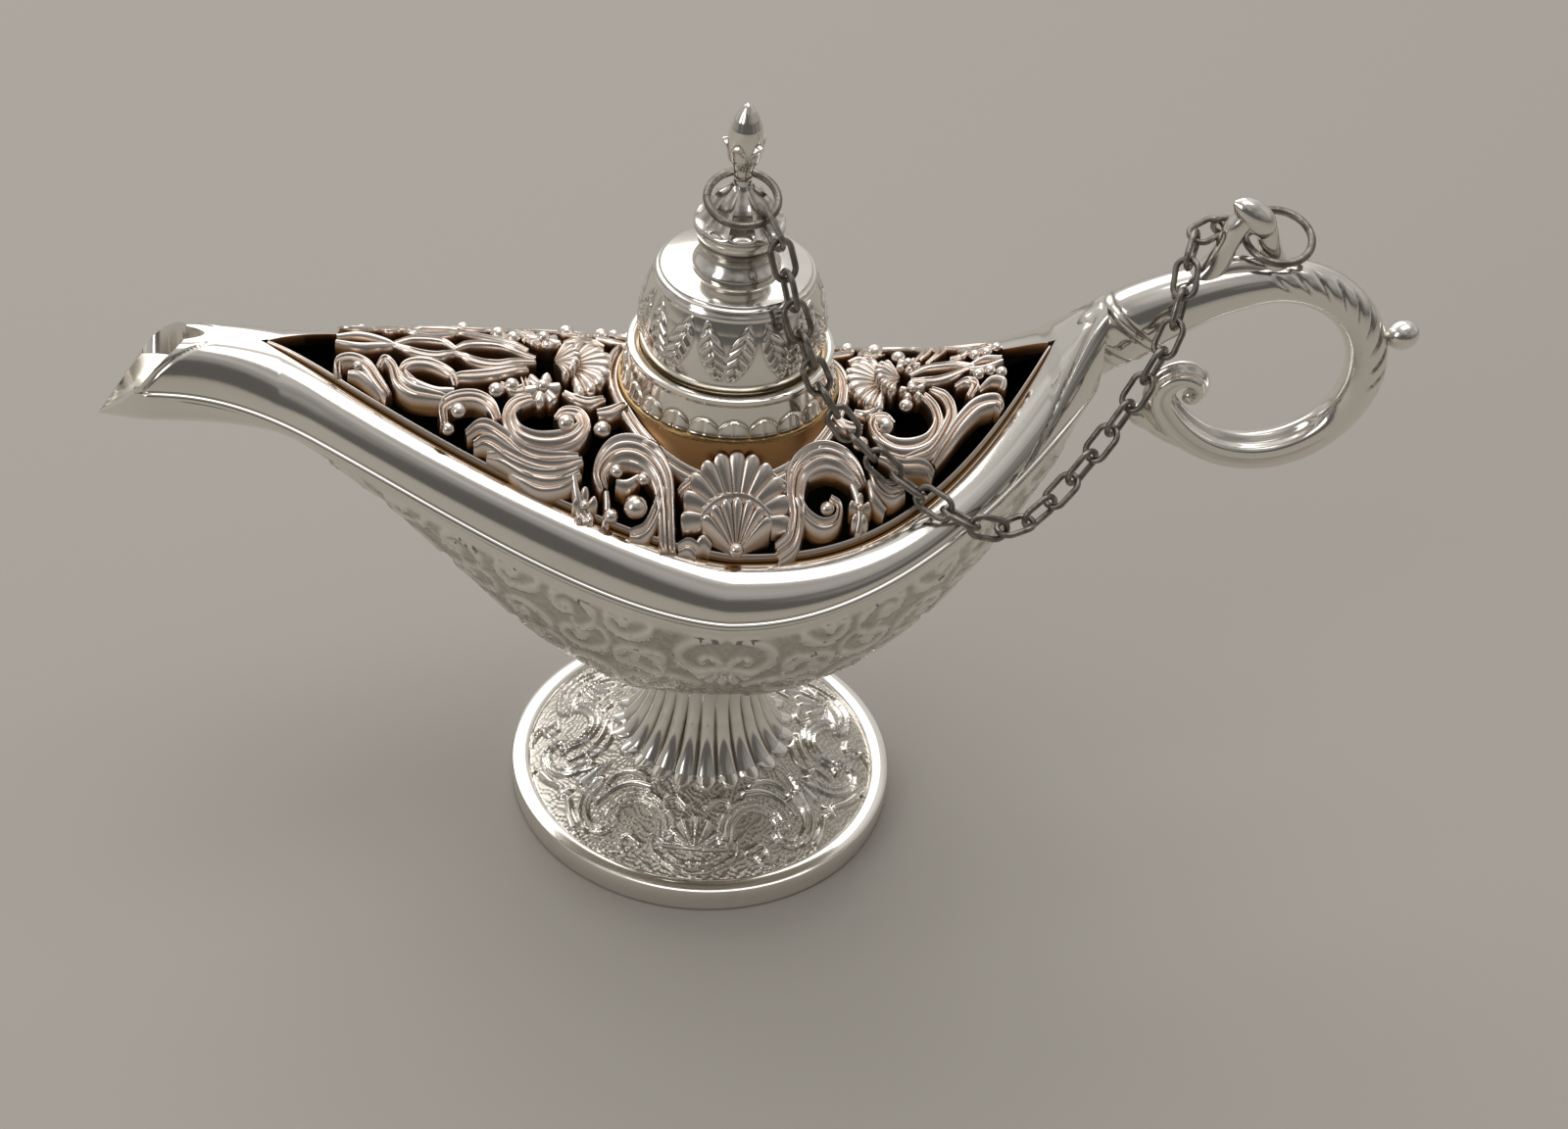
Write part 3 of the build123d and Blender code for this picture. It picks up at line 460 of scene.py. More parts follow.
bowl_relief[1:-1, 1:-1] = 0.5 * bowl_relief[1:-1, 1:-1] + 0.125 * beside
dressed = ease((drop - 1.7) / 1.0) * ease((bowl_x + 47) / 6) * ease((37.5 - bowl_x) / 3)
# Just under the bead a groove is cut, and the film in it is painted shade.
bead_groove_and_shade = peak(drop - 0.62, 0.22) * ease((bowl_x + 59) / 4)
bowl_recess = np.maximum(dressed * np.clip(0.66 - 1.8 * bowl_relief, 0, 1), bead_groove_and_shade)
bowl_outer = raised(bowl_grid, bowl_relief * dressed - 0.22 * bead_groove_and_shade, wrap=False)
inner_x = np.clip(stations, tip_x + 0.5, tail_x - 3.5)
inner_wide = np.maximum(half_width(inner_x) - wall(inner_x), 0.35)
inner_low = np.minimum(keel_z(inner_x) + wall(inner_x), seam_z(inner_x) - 0.35)
bowl_inner = bowl_skin(inner_x, inner_wide, inner_low, lining_columns)
inner_start = len(stations) * skin_columns
bowl_faces = weave(bowl_outer) + weave(bowl_inner, start=inner_start)
for row in range(len(stations) - 1):
    for column, inner_column in ((0, 0), (skin_columns - 1, lining_columns - 1)):
        lip = row * skin_columns + column
        within = inner_start + row * lining_columns + inner_column
        bowl_faces.append([lip, lip + skin_columns, within + lining_columns, within])
outer_end = row_of(bowl_outer, -1)
inner_end = row_of(bowl_inner, -1, inner_start)
tail_top = [outer_end[0], inner_end[0], inner_end[-1], outer_end[-1]]
beak_tip = [0] + row_of(bowl_inner, 0, inner_start)
bowl_faces += [outer_end, inner_end, tail_top, beak_tip]
bowl_points = np.concatenate([bowl_outer.reshape(-1, 3), bowl_inner.reshape(-1, 3)])
bowl_tarnish_and_shade = np.concatenate([bowl_recess.ravel(), np.zeros(len(stations) * lining_columns)])
# The inside is painted near-black as shade, fading out towards the beak's tip where the light reaches in.
bowl_inner_painted_shade = np.concatenate([np.zeros(inner_start), ease((bowl_inner[..., 0].ravel() + 57) / 5)])
cast("bowl_casting", bowl_points, bowl_faces, silver, "lamp", "bowl", recess=bowl_tarnish_and_shade, inside=bowl_inner_painted_shade)

# Rim frame: the upper casting, a broad polished quarter-round band round the opening, which closes over
# to the tail's shoulder behind and in front to the spout's roof, with an engraved line and a notched
# mouth. It sits on the bowl along the seam, where a fine bead and a groove with painted shade in it run
# below the band. The band's inner face is painted dark as shade.
lip_top_x, notch_x = -56.4, -54.4
opening_front, opening_back, opening_half = -48.8, 34.4, 17.5
rim_low = 47.6
curve_columns, crown_columns, under_columns = 26, 5, 18
top_columns = curve_columns + crown_columns
far_side = (1, -1, 1)


def rim_z(x):
    """Height of the band's upper edge, and of the roof beyond the opening's ends."""
    tail = rim_low + 17 * np.clip(x / opening_back, 0, 1) ** 2.75 + 1.1 * np.clip(x - opening_back, 0, None)
    return np.where(x < 0, rim_low + 15.3 * soften(x / opening_front) ** 1.3, tail)


def opening_width(x):
    """Half the width of the opening that the pierced cover fills."""
    spout = opening_half * (1 - np.clip(x / opening_front, 0, 1) ** 1.55)
    return np.where(x < 0, spout, opening_half * (1 - np.clip(x / opening_back, 0, 1) ** 2.45))


def fused(parts):
    """Points, faces and film of a piece put together from parts that each have their own."""
    points, faces, films, start = [], [], [], 0
    for part, part_faces, film in parts:
        points.append(np.reshape(part, (-1, 3)))
        faces += [[k + start for k in face] for face in part_faces]
        films.append(np.zeros(len(points[-1])) + np.ravel(film))
        start += len(points[-1])
    return np.concatenate(points), faces, np.concatenate(films)


band = np.concatenate([
    np.linspace(lip_x, notch_x, 80)[:-1], np.linspace(notch_x, -51, 40)[:-1], np.linspace(-51, tail_x, 390),
])
low = seam_z(band) + 0.05
deep_wall = wall(band)
band_width = half_width(band)
opening = opening_width(band)
flat = np.maximum(opening, 1.2)
rise = rim_z(band) - low
cut_x = (lip_x, -60.3, -59.2, -58.2, -57.4, -56.8, lip_top_x)
cut = np.interp(band, cut_x, (0.0, 0.32, 0.58, 0.77, 0.895, 0.968, 1.0))
lean = np.arcsin(cut)[:, None] * np.linspace(0, 1, curve_columns)
outer_y = flat[:, None] + (band_width - flat)[:, None] * np.cos(lean)
outer_z = low[:, None] + rise[:, None] * np.sin(lean)
notch = np.sqrt(np.clip((notch_x - band) / (notch_x - lip_top_x), 0, 1))
edge_y = np.where(band < notch_x, outer_y[:, -1] * notch, np.minimum(opening, outer_y[:, -1]))
crown_y = outer_y[:, -1:] + (edge_y - outer_y[:, -1])[:, None] * np.linspace(0.2, 1, crown_columns)
crown_z = outer_z[:, -1:] + 0 * crown_y
inner_y = np.maximum(band_width - deep_wall, 0.35)
inner_rise = np.maximum(rise - deep_wall, 0.3)
inner_cut = np.clip(cut * rise / inner_rise, 0, 1)
start_lean = np.where(band < lip_top_x, np.arcsin(inner_cut), np.pi)
start_lean = np.minimum(start_lean, np.arccos(np.clip(edge_y / inner_y, 0, 1)))
inner_lean = start_lean[:, None] * np.linspace(1, 0, under_columns)
under_y = inner_y[:, None] * np.cos(inner_lean)
under_z = low[:, None] + inner_rise[:, None] * np.sin(inner_lean)
section_y = np.concatenate([outer_y, crown_y, under_y], axis=1)
section_z = np.concatenate([outer_z, crown_z, under_z], axis=1)
section_x = band[:, None] + 0 * section_y
columns = section_y.shape[1]
column_at = np.arange(columns)
line_lean = np.concatenate([lean, np.pi / 2 + 0.1 * np.arange(1, crown_columns + 1) + 0 * crown_y], axis=1)
line_leans = (0, 0.5, 0.9, 1.25, np.pi / 2, np.pi / 2 + 0.5)
line_x = np.interp(line_lean, line_leans, (-60.7, -59.0, -57.2, -55.2, -53.3, -52.9))
groove = np.zeros_like(section_x)
line_cut = peak(section_x[:, :top_columns] - line_x, 0.28) * ease((1.75 - line_lean) / 0.6)
groove[:, :top_columns] = -0.15 * line_cut
leaf_edge = 37.6 - 7.5 * (1 - np.clip(column_at / (curve_columns - 1), 0, 1)) ** 1.5
groove -= np.where(column_at < curve_columns, 0.22 * peak(section_x - leaf_edge, 0.35), 0)
frame_half = raised(places(section_x, section_y, section_z), groove, wrap=False)
# The band's inner face is painted with the dark film as shade inside the body, fading out at the spout's
# mouth.
underside_painted_shade = np.where(column_at > top_columns, 1.0, 0.0) * ease((section_x + 61) / 3)
frame_recess = np.maximum(underside_painted_shade, np.where(groove < -0.1, 0.6, 0))
solid_roof = (band < opening_front) | (band > opening_back)
half_faces = []
for index, quad in enumerate(weave(frame_half, wrap=True)):
    row, column = divmod(index, columns)
    in_roof = solid_roof[row] and solid_roof[row + 1] and band[row] >= notch_x
    if not (in_roof and column == top_columns - 1):
        half_faces.append(quad)
half_faces.append(row_of(frame_half, -1))
frame_halves = [(frame_half, half_faces, frame_recess), (frame_half * far_side, half_faces, frame_recess)]
points, faces, film = fused(frame_halves)
cast("rim_frame_casting", points, faces, silver, "lamp", "rim_frame", recess=film)


def sweep_wire(line, radius, sides=10, level=(0.0, 0.0, 1.0)):
    """A round wire along a line of points, with a radius at each and closed ends."""
    ahead = unit(np.gradient(line, axis=0))
    side = unit(np.cross(ahead, level))
    up = np.cross(side, ahead)
    turn = full_turn(sides)[:, None]
    offset = side[:, None] * np.cos(turn) + up[:, None] * np.sin(turn)
    points = line[:, None] + offset * radius[:, None, None]
    return points, weave(points, wrap=True, capped=True)


bead_x = np.linspace(-60.8, tail_x - 0.4, 240)
bead_line = places(bead_x, half_width(bead_x) + 0.08, seam_z(bead_x) - 0.12)
bead_radius = 0.42 * np.maximum(ease((tail_x - bead_x) / 5) * ease((bead_x + 61.2) / 1.2), 0.05)
bead, bead_faces = sweep_wire(bead_line, bead_radius)
points, faces, _ = fused([(bead, bead_faces, 0), (bead * far_side, bead_faces, 0)])
cast("seam_bead", points, faces, silver, "lamp")

# Pierced cover: an arched casting of scrolls, shells, leaves and balls with the gaps between them cut
# right through. The plate has worn to a rosy brass in its hollows. A rail round its edge fits the band's
# opening, and in its middle a ring takes the collar's neck, with a wall round it below the collar; the ring
# and the wall are painted brown as the shade under the collar.
rosy = plate("tarnished_plate", (0.90, 0.82, 0.76), (0.42, 0.23, 0.10), 0.19, 0.14)
seat_r, seat_z = 12.3, 58.3
ring_rows, ring_sides = 16, 96
ball_rows, ball_sides = 11, 18
lace = []


def dome(x, y):
    """Height of the cover's arched upper face."""
    half = opening_width(x) + 0.3
    bulge = np.maximum(0.58 * half, 1e-3)
    bow = (half**2 + bulge**2) / (2 * bulge)
    arch = rim_z(x) + bulge - bow + np.sqrt(np.maximum(bow**2 - np.minimum(np.abs(y), half) ** 2, 0))
    return np.where(np.hypot(x, y) < 12.4, np.minimum(arch, seat_z), arch)


def add_lace(points, faces, film, twin=True):
    """Keep one part of the cover and, unless it lies on the middle line, its twin across that line."""
    lace.append((points, faces, film))
    if twin:
        lace.append((points * far_side, faces, film))


def strap(marks, crest, cords, sink=1.3):
    """A strap of rounded cords laid on the arch, through marks that each give a place and a width."""
    path = flow(marks)
    line, width = path[:, :2], np.maximum(path[:, 2], 0.25)
    ahead = unit(np.gradient(line, axis=0))
    side = places(-ahead[:, 1], ahead[:, 0])
    share = np.linspace(-1, 1, 6 * cords + 3)
    plan = line[:, None] + side[:, None] * (share[None, :, None] * width[:, None, None] / 2)
    comb = np.abs(np.cos(np.pi * (cords * (share + 1) / 2 - 0.5))) ** 0.8
    shape = 0.4 * np.sqrt(np.clip(1 - share**4, 0, 1)) + 0.6 * comb
    top = dome(plan[..., 0], plan[..., 1]) + crest * shape * np.clip(width / 1.1, 0.4, 1)[:, None] - 0.35
    edge = plan[:, [-1, 0]]
    under = dome(edge[..., 0], edge[..., 1]) - sink
    rows = np.concatenate([np.dstack([plan, top]), np.dstack([edge, under])], axis=1)
    film = np.concatenate([1.05 - 1.2 * shape, [1.0, 1.0]])[None] + np.zeros((len(line), 1))
    add_lace(rows, weave(rows, wrap=True, capped=True), film)


def ball(centre, radius, lift):
    """A round ball half sunk in the arch."""
    tilt = np.linspace(np.pi / 2, -np.pi / 2, ball_rows)
    grid, _ = turned(places(radius * np.cos(tilt), radius * np.sin(tilt)), ball_sides)
    x, y = centre
    points = grid + (x, y, float(dome(np.array(x), np.array(y))) + lift)
    add_lace(points, weave(grid, wrap=True), np.clip(0.4 - grid[..., 2] / radius, 0, 1))


def sunk(points):
    """The same places a little below the arch."""
    lower = points.copy()
    lower[..., 2] = dome(lower[..., 0], lower[..., 1]) - 1.2
    return lower


def shell(centre, facing, reach, spread, lobes, crest, rise, twin=True):
    """A fan of rounded lobes that lifts off the arch towards its scalloped edge."""
    angle = np.radians(np.linspace(-spread, spread, 12 * lobes + 1))
    out = np.linspace(0.1, 1, 26)[:, None]
    lobe = np.abs(np.sin(np.pi * lobes * (np.degrees(angle) + spread) / (2 * spread))) ** 0.6
    ahead = np.array([math.cos(math.radians(facing)), math.sin(math.radians(facing))])
    across = np.array([-ahead[1], ahead[0]])
    size = out * (0.9 + 0.1 * lobe)
    plan = np.array(centre) + (size * np.cos(angle) * reach[0])[..., None] * ahead
    plan = plan + (size * np.sin(angle) * reach[1])[..., None] * across
    swell = (0.35 + 0.65 * lobe) * np.sqrt(out) * (1 - 0.45 * out**8)
    top = dome(plan[..., 0], plan[..., 1]) - 0.3 + crest * swell + rise * out * np.cos(angle)
    grid = np.dstack([plan, top])
    grid = np.concatenate([grid, sunk(grid[-1:])])
    sides = sunk(grid[:, [0, -1]])
    grid = np.concatenate([sides[:, :1], grid, sides[:, 1:]], axis=1)
    film = np.pad(np.clip(0.75 - 1.1 * swell, 0, 1), ((0, 1), (1, 1)), constant_values=1.0)
    start = film.size
    faces = weave(grid) + weave(grid, start=start)
    faces += [[k, k + 1, start + k + 1, start + k] for k in range(grid.shape[1] - 1)]
    add_lace(np.stack([grid, sunk(grid)]), faces, np.concatenate([film.ravel(), np.ones(start)]), twin)


def blossom(centre, reach, petals):
    """A small open flower with a ball in its middle."""
    for number in range(petals):
        turn = 2 * math.pi * (number + 0.25) / petals
        ahead = (math.cos(turn), math.sin(turn))
        petal_marks = [(centre[0] + reach * out * ahead[0], centre[1] + reach * out * ahead[1], wide * reach)
                       for out, wide in ((0.1, 0.3), (0.45, 0.7), (0.8, 0.75), (1.0, 0.35))]
        strap(petal_marks, 1.15, 1)
    ball(centre, 0.36 * reach, 0.75)


rail_x = np.concatenate([np.linspace(-48.0, -4, 23), np.linspace(0, 33.8, 20)])
rail_y = -np.maximum(opening_width(rail_x) - 0.35, 0.15)
strap(places(rail_x, rail_y, 0.3), 0.3, 1, sink=1.6)
# The ring and the wall round it lie under the collar; their heavy film is painted shade.
ring_tilt = full_turn(ring_rows)
ring_profile = places(10.1 + 0.75 * np.cos(ring_tilt), 57.7 + 0.75 * np.sin(ring_tilt))
ring_grid, ring_turn = turned(ring_profile, ring_sides)
ring_end = (ring_rows - 1) * ring_sides
ring_faces = weave(ring_grid, wrap=True)
for k in range(ring_sides):
    beyond = (k + 1) % ring_sides
    ring_faces.append([ring_end + k, ring_end + beyond, beyond, k])
add_lace(ring_grid, ring_faces, 0.8, twin=False)
skirt_drop = np.concatenate([np.linspace(0, 1, 8), np.linspace(1, 0, 8)])[:, None]
skirt_reach = 11.0 + 1.3 * skirt_drop**1.5 - 0.7 * (np.arange(ring_rows)[:, None] > 7)
skirt_foot = np.minimum(dome(seat_r * np.cos(ring_turn), seat_r * np.sin(ring_turn)) - 0.6, 57.6)
skirt_z = seat_z + (skirt_foot - seat_z) * skirt_drop
skirt = places(skirt_reach * np.cos(ring_turn), skirt_reach * np.sin(ring_turn), skirt_z)
add_lace(skirt, ring_faces, 1.0, twin=False)
seat_turn = np.linspace(-np.pi, 0, 40)
strap(places(seat_r * np.cos(seat_turn), seat_r * np.sin(seat_turn), 1.7), 0.75, 2)
near_scrolls = [
    ([(-6.4, -17.4, 1.8), (-6.6, -16.0, 1.9), (-6.8, -14.2, 2.1), (-7.2, -12.3, 2.7), (-8.3, -10.8, 3.2),
      (-9.9, -10.0, 3.5), (-11.6, -10.1, 3.2), (-12.9, -11.0, 2.5), (-13.6, -12.2, 1.7),
      (-13.2, -13.2, 1.0)], 4),
    ([(-5.4, -17.0, 0.9), (-4.3, -16.9, 1.2), (-3.4, -17.2, 1.3)], 2),
    ([(-7.2, -13.0, 1.0), (-7.7, -14.6, 1.3), (-8.8, -15.9, 1.3), (-10.4, -16.2, 1.0)], 2),
    ([(-9.6, -12.2, 0.8), (-10.8, -12.9, 1.1), (-11.9, -12.7, 0.9)], 1),
    ([(-12.9, -13.4, 0.8), (-12.8, -14.8, 1.0), (-13.3, -15.9, 0.8)], 1),
    ([(-16.3, -12.2, 0.9), (-15.9, -13.7, 1.1), (-15.3, -14.8, 1.1), (-15.0, -15.5, 0.8)], 1),
    ([(4.9, -17.2, 1.5), (6.4, -16.3, 1.8), (6.9, -14.7, 1.9), (6.7, -13.0, 2.3), (7.0, -11.3, 2.8),
      (8.1, -10.1, 3.3), (9.7, -9.5, 3.5), (11.4, -9.9, 3.1), (12.8, -11.0, 2.3), (13.7, -12.2, 1.3)], 4),
    ([(6.9, -13.3, 1.0), (7.9, -14.6, 1.3), (9.5, -15.2, 1.3), (11.0, -14.8, 1.1), (11.3, -13.7, 0.9),
      (10.4, -13.1, 0.7)], 2),
    ([(12.7, -12.0, 0.8), (13.3, -13.2, 1.0), (13.6, -14.4, 1.0), (13.3, -15.4, 0.7)], 1),
    ([(-10.9, -5.2, 1.0), (-12.4, -6.2, 1.4), (-13.9, -6.7, 1.1)], 2),
    ([(10.9, -5.4, 1.0), (12.3, -6.4, 1.4), (13.9, -6.7, 1.0)], 2),
    ([(-3.3, -11.9, 1.0), (-4.5, -12.8, 1.3), (-5.4, -13.4, 0.9)], 2),
    ([(4.2, -11.7, 1.0), (5.2, -12.4, 1.3), (6.0, -12.6, 0.9)], 2),
    ([(-3.6, -16.9, 0.8), (-2.8, -16.6, 1.1), (-2.0, -16.9, 0.8)], 1),
    ([(-7.2, -10.0, 0.9), (-8.0, -9.4, 1.2), (-9.2, -9.0, 0.9)], 1),
]
spout_scrolls = [
    ([(-20.6, -5.6, 1.0), (-22.3, -6.3, 1.5), (-23.0, -7.6, 1.8), (-22.2, -9.0, 2.0), (-20.4, -9.7, 2.2),
      (-18.2, -9.7, 2.4), (-16.3, -9.1, 2.2), (-15.3, -8.0, 1.8), (-15.9, -6.9, 1.5), (-17.2, -6.8, 1.2),
      (-18.2, -7.6, 0.9)], 3),
    ([(-27.4, -9.0, 0.8), (-25.6, -8.4, 1.3), (-23.6, -9.2, 1.5), (-21.2, -10.6, 1.4), (-18.4, -11.0, 1.2),
      (-15.8, -10.7, 0.7)], 2),
    ([(-26.6, -9.8, 0.8), (-25.0, -9.7, 1.3), (-22.6, -10.8, 1.5), (-19.8, -11.6, 1.4), (-17.2, -11.6, 1.2),
      (-15.4, -11.0, 0.7)], 2),
    ([(-25.2, -10.5, 0.7), (-23.4, -11.0, 1.2), (-21.0, -11.9, 1.4), (-18.2, -12.3, 1.3),
      (-15.9, -11.6, 0.8)], 2),
    ([(-22.9, -11.6, 0.6), (-21.4, -12.3, 1.1), (-19.4, -12.9, 1.2), (-17.0, -12.8, 1.1),
      (-15.6, -12.0, 0.7)], 2),
    ([(-29.6, -8.2, 1.0), (-29.7, -6.9, 1.3), (-28.4, -6.1, 1.5), (-26.5, -5.9, 1.6), (-25.0, -6.6, 1.5),
      (-24.2, -7.9, 1.1)], 3),
    ([(-40.6, -4.0, 0.8), (-40.6, -3.0, 1.1), (-39.3, -2.6, 1.3), (-37.8, -3.2, 1.5), (-36.6, -4.6, 1.4),
      (-35.4, -5.9, 1.0)], 2),
    ([(-39.6, -3.8, 0.7), (-38.4, -4.1, 1.0), (-37.2, -4.9, 0.9), (-36.2, -5.7, 0.6)], 1),
    ([(-36.5, -3.4, 0.9), (-35.9, -2.5, 1.1), (-35.1, -3.2, 1.3), (-34.5, -4.6, 1.5), (-33.2, -5.5, 1.6),
      (-31.4, -5.9, 1.4), (-29.6, -6.2, 1.0)], 2),
    ([(-32.7, -4.7, 0.8), (-34.0, -3.7, 1.1), (-33.2, -2.7, 1.3), (-31.3, -2.5, 1.4), (-29.2, -3.5, 1.3),
      (-28.5, -4.8, 0.9)], 2),
    ([(-33.6, -4.2, 0.7), (-32.2, -5.0, 1.2), (-30.4, -5.5, 1.2), (-28.7, -5.4, 1.0)], 1),
    ([(-29.0, -3.9, 0.8), (-27.2, -3.6, 1.3), (-25.0, -3.1, 1.4), (-23.0, -2.4, 1.2), (-21.2, -1.6, 0.8)], 2),
    ([(-41.0, -0.5, 0.8), (-38.6, -1.0, 1.1), (-36.2, -0.5, 1.0), (-34.8, 0.0, 0.7)], 1),
    ([(-35.0, -0.2, 0.8), (-32.8, -1.2, 1.2), (-30.4, -1.3, 1.2), (-28.6, -0.2, 0.8)], 2),
    ([(-28.8, -0.4, 0.8), (-26.8, -1.5, 1.3), (-24.4, -1.7, 1.3), (-22.2, -0.8, 1.0), (-20.4, -0.3, 0.8)], 2),
    ([(-24.0, -4.0, 0.7), (-22.6, -4.9, 1.2), (-21.4, -4.4, 1.2), (-21.6, -3.2, 0.9)], 2),
    ([(-13.2, -4.6, 0.8), (-14.6, -5.4, 1.2), (-16.2, -5.2, 1.1), (-17.4, -4.4, 0.8)], 2),
]
tail_scrolls = [
    ([(20.5, -3.1, 1.0), (21.5, -4.8, 1.3), (21.8, -6.6, 1.5), (20.9, -8.0, 1.7), (19.2, -8.6, 1.9),
      (17.3, -8.5, 1.9), (15.7, -7.6, 1.6), (15.0, -6.4, 1.3), (15.3, -5.5, 1.1), (16.4, -5.4, 1.0),
      (17.2, -6.2, 0.8)], 2),
    ([(21.4, -2.2, 0.8), (22.8, -3.8, 1.2), (23.3, -5.6, 1.5), (22.6, -7.2, 1.5), (21.0, -9.0, 1.3),
      (18.4, -9.8, 0.9)], 2),
    ([(21.3, -10.0, 0.7), (22.6, -8.5, 1.3), (24.2, -6.6, 1.8), (26.0, -5.2, 2.0), (27.8, -5.0, 1.7),
      (28.6, -5.6, 0.9)], 2),
    ([(23.9, -2.5, 0.8), (25.1, -2.2, 1.1), (25.9, -3.0, 1.2), (25.2, -4.2, 1.0)], 2),
    ([(26.3, -3.4, 0.7), (27.6, -2.7, 1.1), (28.8, -3.1, 1.0), (28.6, -3.9, 0.8)], 1),
    ([(15.6, -9.5, 0.8), (17.8, -10.3, 1.3), (20.0, -10.3, 1.4), (21.3, -10.9, 0.9)], 2),
    ([(19.4, -0.5, 0.8), (21.6, -1.2, 1.2), (24.0, -0.9, 1.1), (26.0, 0.0, 0.8)], 2),
    ([(25.6, -0.3, 0.8), (27.2, -0.8, 1.0), (29.0, -0.3, 0.7)], 1),
    ([(13.2, -4.4, 0.8), (14.4, -4.9, 1.1), (15.4, -4.2, 0.8)], 1),
    ([(14.6, -10.6, 0.8), (15.4, -12.0, 1.3), (16.8, -12.6, 1.4), (18.2, -12.2, 0.9)], 2),
    ([(14.4, -11.6, 0.7), (15.0, -13.0, 1.1), (16.2, -13.8, 0.9)], 1),
]
for marks, cords in near_scrolls + spout_scrolls + tail_scrolls:
    strap(marks, 1.1, cords)
balls = [
    ((-9.9, -14.6), 1.3, 0.6), ((-11.9, -12.0), 0.75, 0.5), ((-9.1, -12.5), 0.7, 0.4),
    ((-12.4, -15.0), 0.85, 0.4), ((-13.4, -8.3), 0.95, 0.4), ((10.0, -14.1), 0.8, 0.5),
    ((13.6, -8.4), 0.9, 0.4), ((-17.2, -8.0), 0.95, 0.5), ((-28.2, -7.3), 0.85, 0.4),
    ((-24.4, -5.0), 0.9, 0.3), ((16.3, -6.6), 1.0, 0.5), ((26.4, -1.7), 0.7, 0.4),
    ((27.6, -1.6), 0.65, 0.4), ((28.7, -2.2), 0.65, 0.4), ((-22.8, -4.2), 0.8, 0.3),
    ((-38.6, -3.3), 0.55, 0.3), ((-29.2, -8.6), 0.7, 0.4), ((18.6, -4.3), 0.8, 0.4),
]
for centre, radius, lift in balls:
    ball(centre, radius, lift)
blossom((-15.1, -14.4), 1.4, 5)
blossom((13.5, -13.9), 1.3, 5)
blossom((-19.6, -4.3), 2.0, 6)
blossom((19.4, -2.3), 1.5, 5)
shell((-16.9, 0.0), 0, (4.5, 5.0), 84, 9, 1.2, 0.7, twin=False)
shell((-18.6, 0.0), 0, (3.0, 3.2), 70, 7, 1.5, 1.1, twin=False)
shell((16.8, 0.0), 180, (4.3, 4.7), 84, 9, 1.2, 0.7, twin=False)
shell((18.5, 0.0), 180, (3.0, 3.2), 70, 7, 1.5, 1.1, twin=False)
shell((0.5, -15.2), 90, (4.0, 5.7), 100, 11, 1.2, 2.6)
shell((0.6, -17.3), 90, (2.9, 4.4), 62, 7, 1.7, 1.4)
shell_tie = [(-3.0, -15.3, 0.7), (-1.4, -14.5, 0.9), (0.6, -14.2, 0.9), (2.5, -14.5, 0.9), (4.1, -15.2, 0.7)]
strap(shell_tie, 2.9, 1)
ball((0.6, -17.2), 0.8, 0.7)
points, faces, film = fused(lace)
cast("cover_casting", points, faces, rosy, "lamp", "cover", recess=film, crease=50)

# Collar: a turned and chased ring. Its neck goes down into the cover's ring, a flare with a gilt edge
# rests on the cover, a row of rounded leaves stands round it, and the lid sits inside its lip.
collar_sides, collar_leaves = 528, 22
neck_rows = [(8.3, 53.6), (9.3, 53.6), (9.3, 58.55)]
flare_rows = [(11.4, 58.6), (11.75, 58.72), (11.8, 58.95), (11.7, 59.15), (11.35, 59.25)]
collar_rise = np.linspace(0, 1, 44)
collar_profile = np.concatenate([
    neck_rows, flare_rows,
    places(11.3 - 0.75 * collar_rise**0.7, 59.35 + 3.2 * collar_rise),
    [(10.65, 62.75), (10.85, 62.95), (10.95, 63.25), (10.85, 63.55), (10.6, 63.7), (10.25, 63.7)],
    [(10.0, 63.55), (10.0, 62.7), (8.3, 62.7), (8.3, 53.6)],
])
collar_grid, around = turned(collar_profile, collar_sides)
collar_z = collar_grid[..., 2]
leaf_start = len(neck_rows) + len(flare_rows)
leaf_rows = np.zeros((len(collar_profile), 1), bool)
leaf_rows[leaf_start:leaf_start + len(collar_rise)] = True
leaf = np.abs(np.sin(collar_leaves / 2 * around)) + 0 * collar_z
leaf_top = 60.0 + 1.1 * leaf**0.6
on_leaf = leaf_rows * ease((leaf_top - collar_z) / 0.22)
vein = peak(np.cos(collar_leaves / 2 * around), 0.2)
collar_relief = on_leaf * (0.04 + 0.26 * leaf**0.5 - 0.12 * vein)
above_leaf = leaf_rows * peak(collar_z - leaf_top - 0.12, 0.14)
collar_recess = on_leaf * np.clip(0.55 - 0.6 * leaf + 0.35 * vein, 0, 1) + 0.6 * above_leaf
# The lid's seat and the collar's inner lip take the gilt film: partly the thin gilt line at the lip's edge,
# partly painted shade in the gap under the lid.
collar_recess[-4:] = 0.7
collar_recess[len(neck_rows):leaf_start] = 1.0
gilded = plate("gilt_edge_plate", (0.86, 0.83, 0.77), (0.42, 0.28, 0.13), 0.08, 0.15)
collar_faces = weave(collar_grid, wrap=True)
cast("collar_casting", raised(collar_grid, collar_relief), collar_faces, gilded, "lamp", "collar",
     recess=collar_recess)

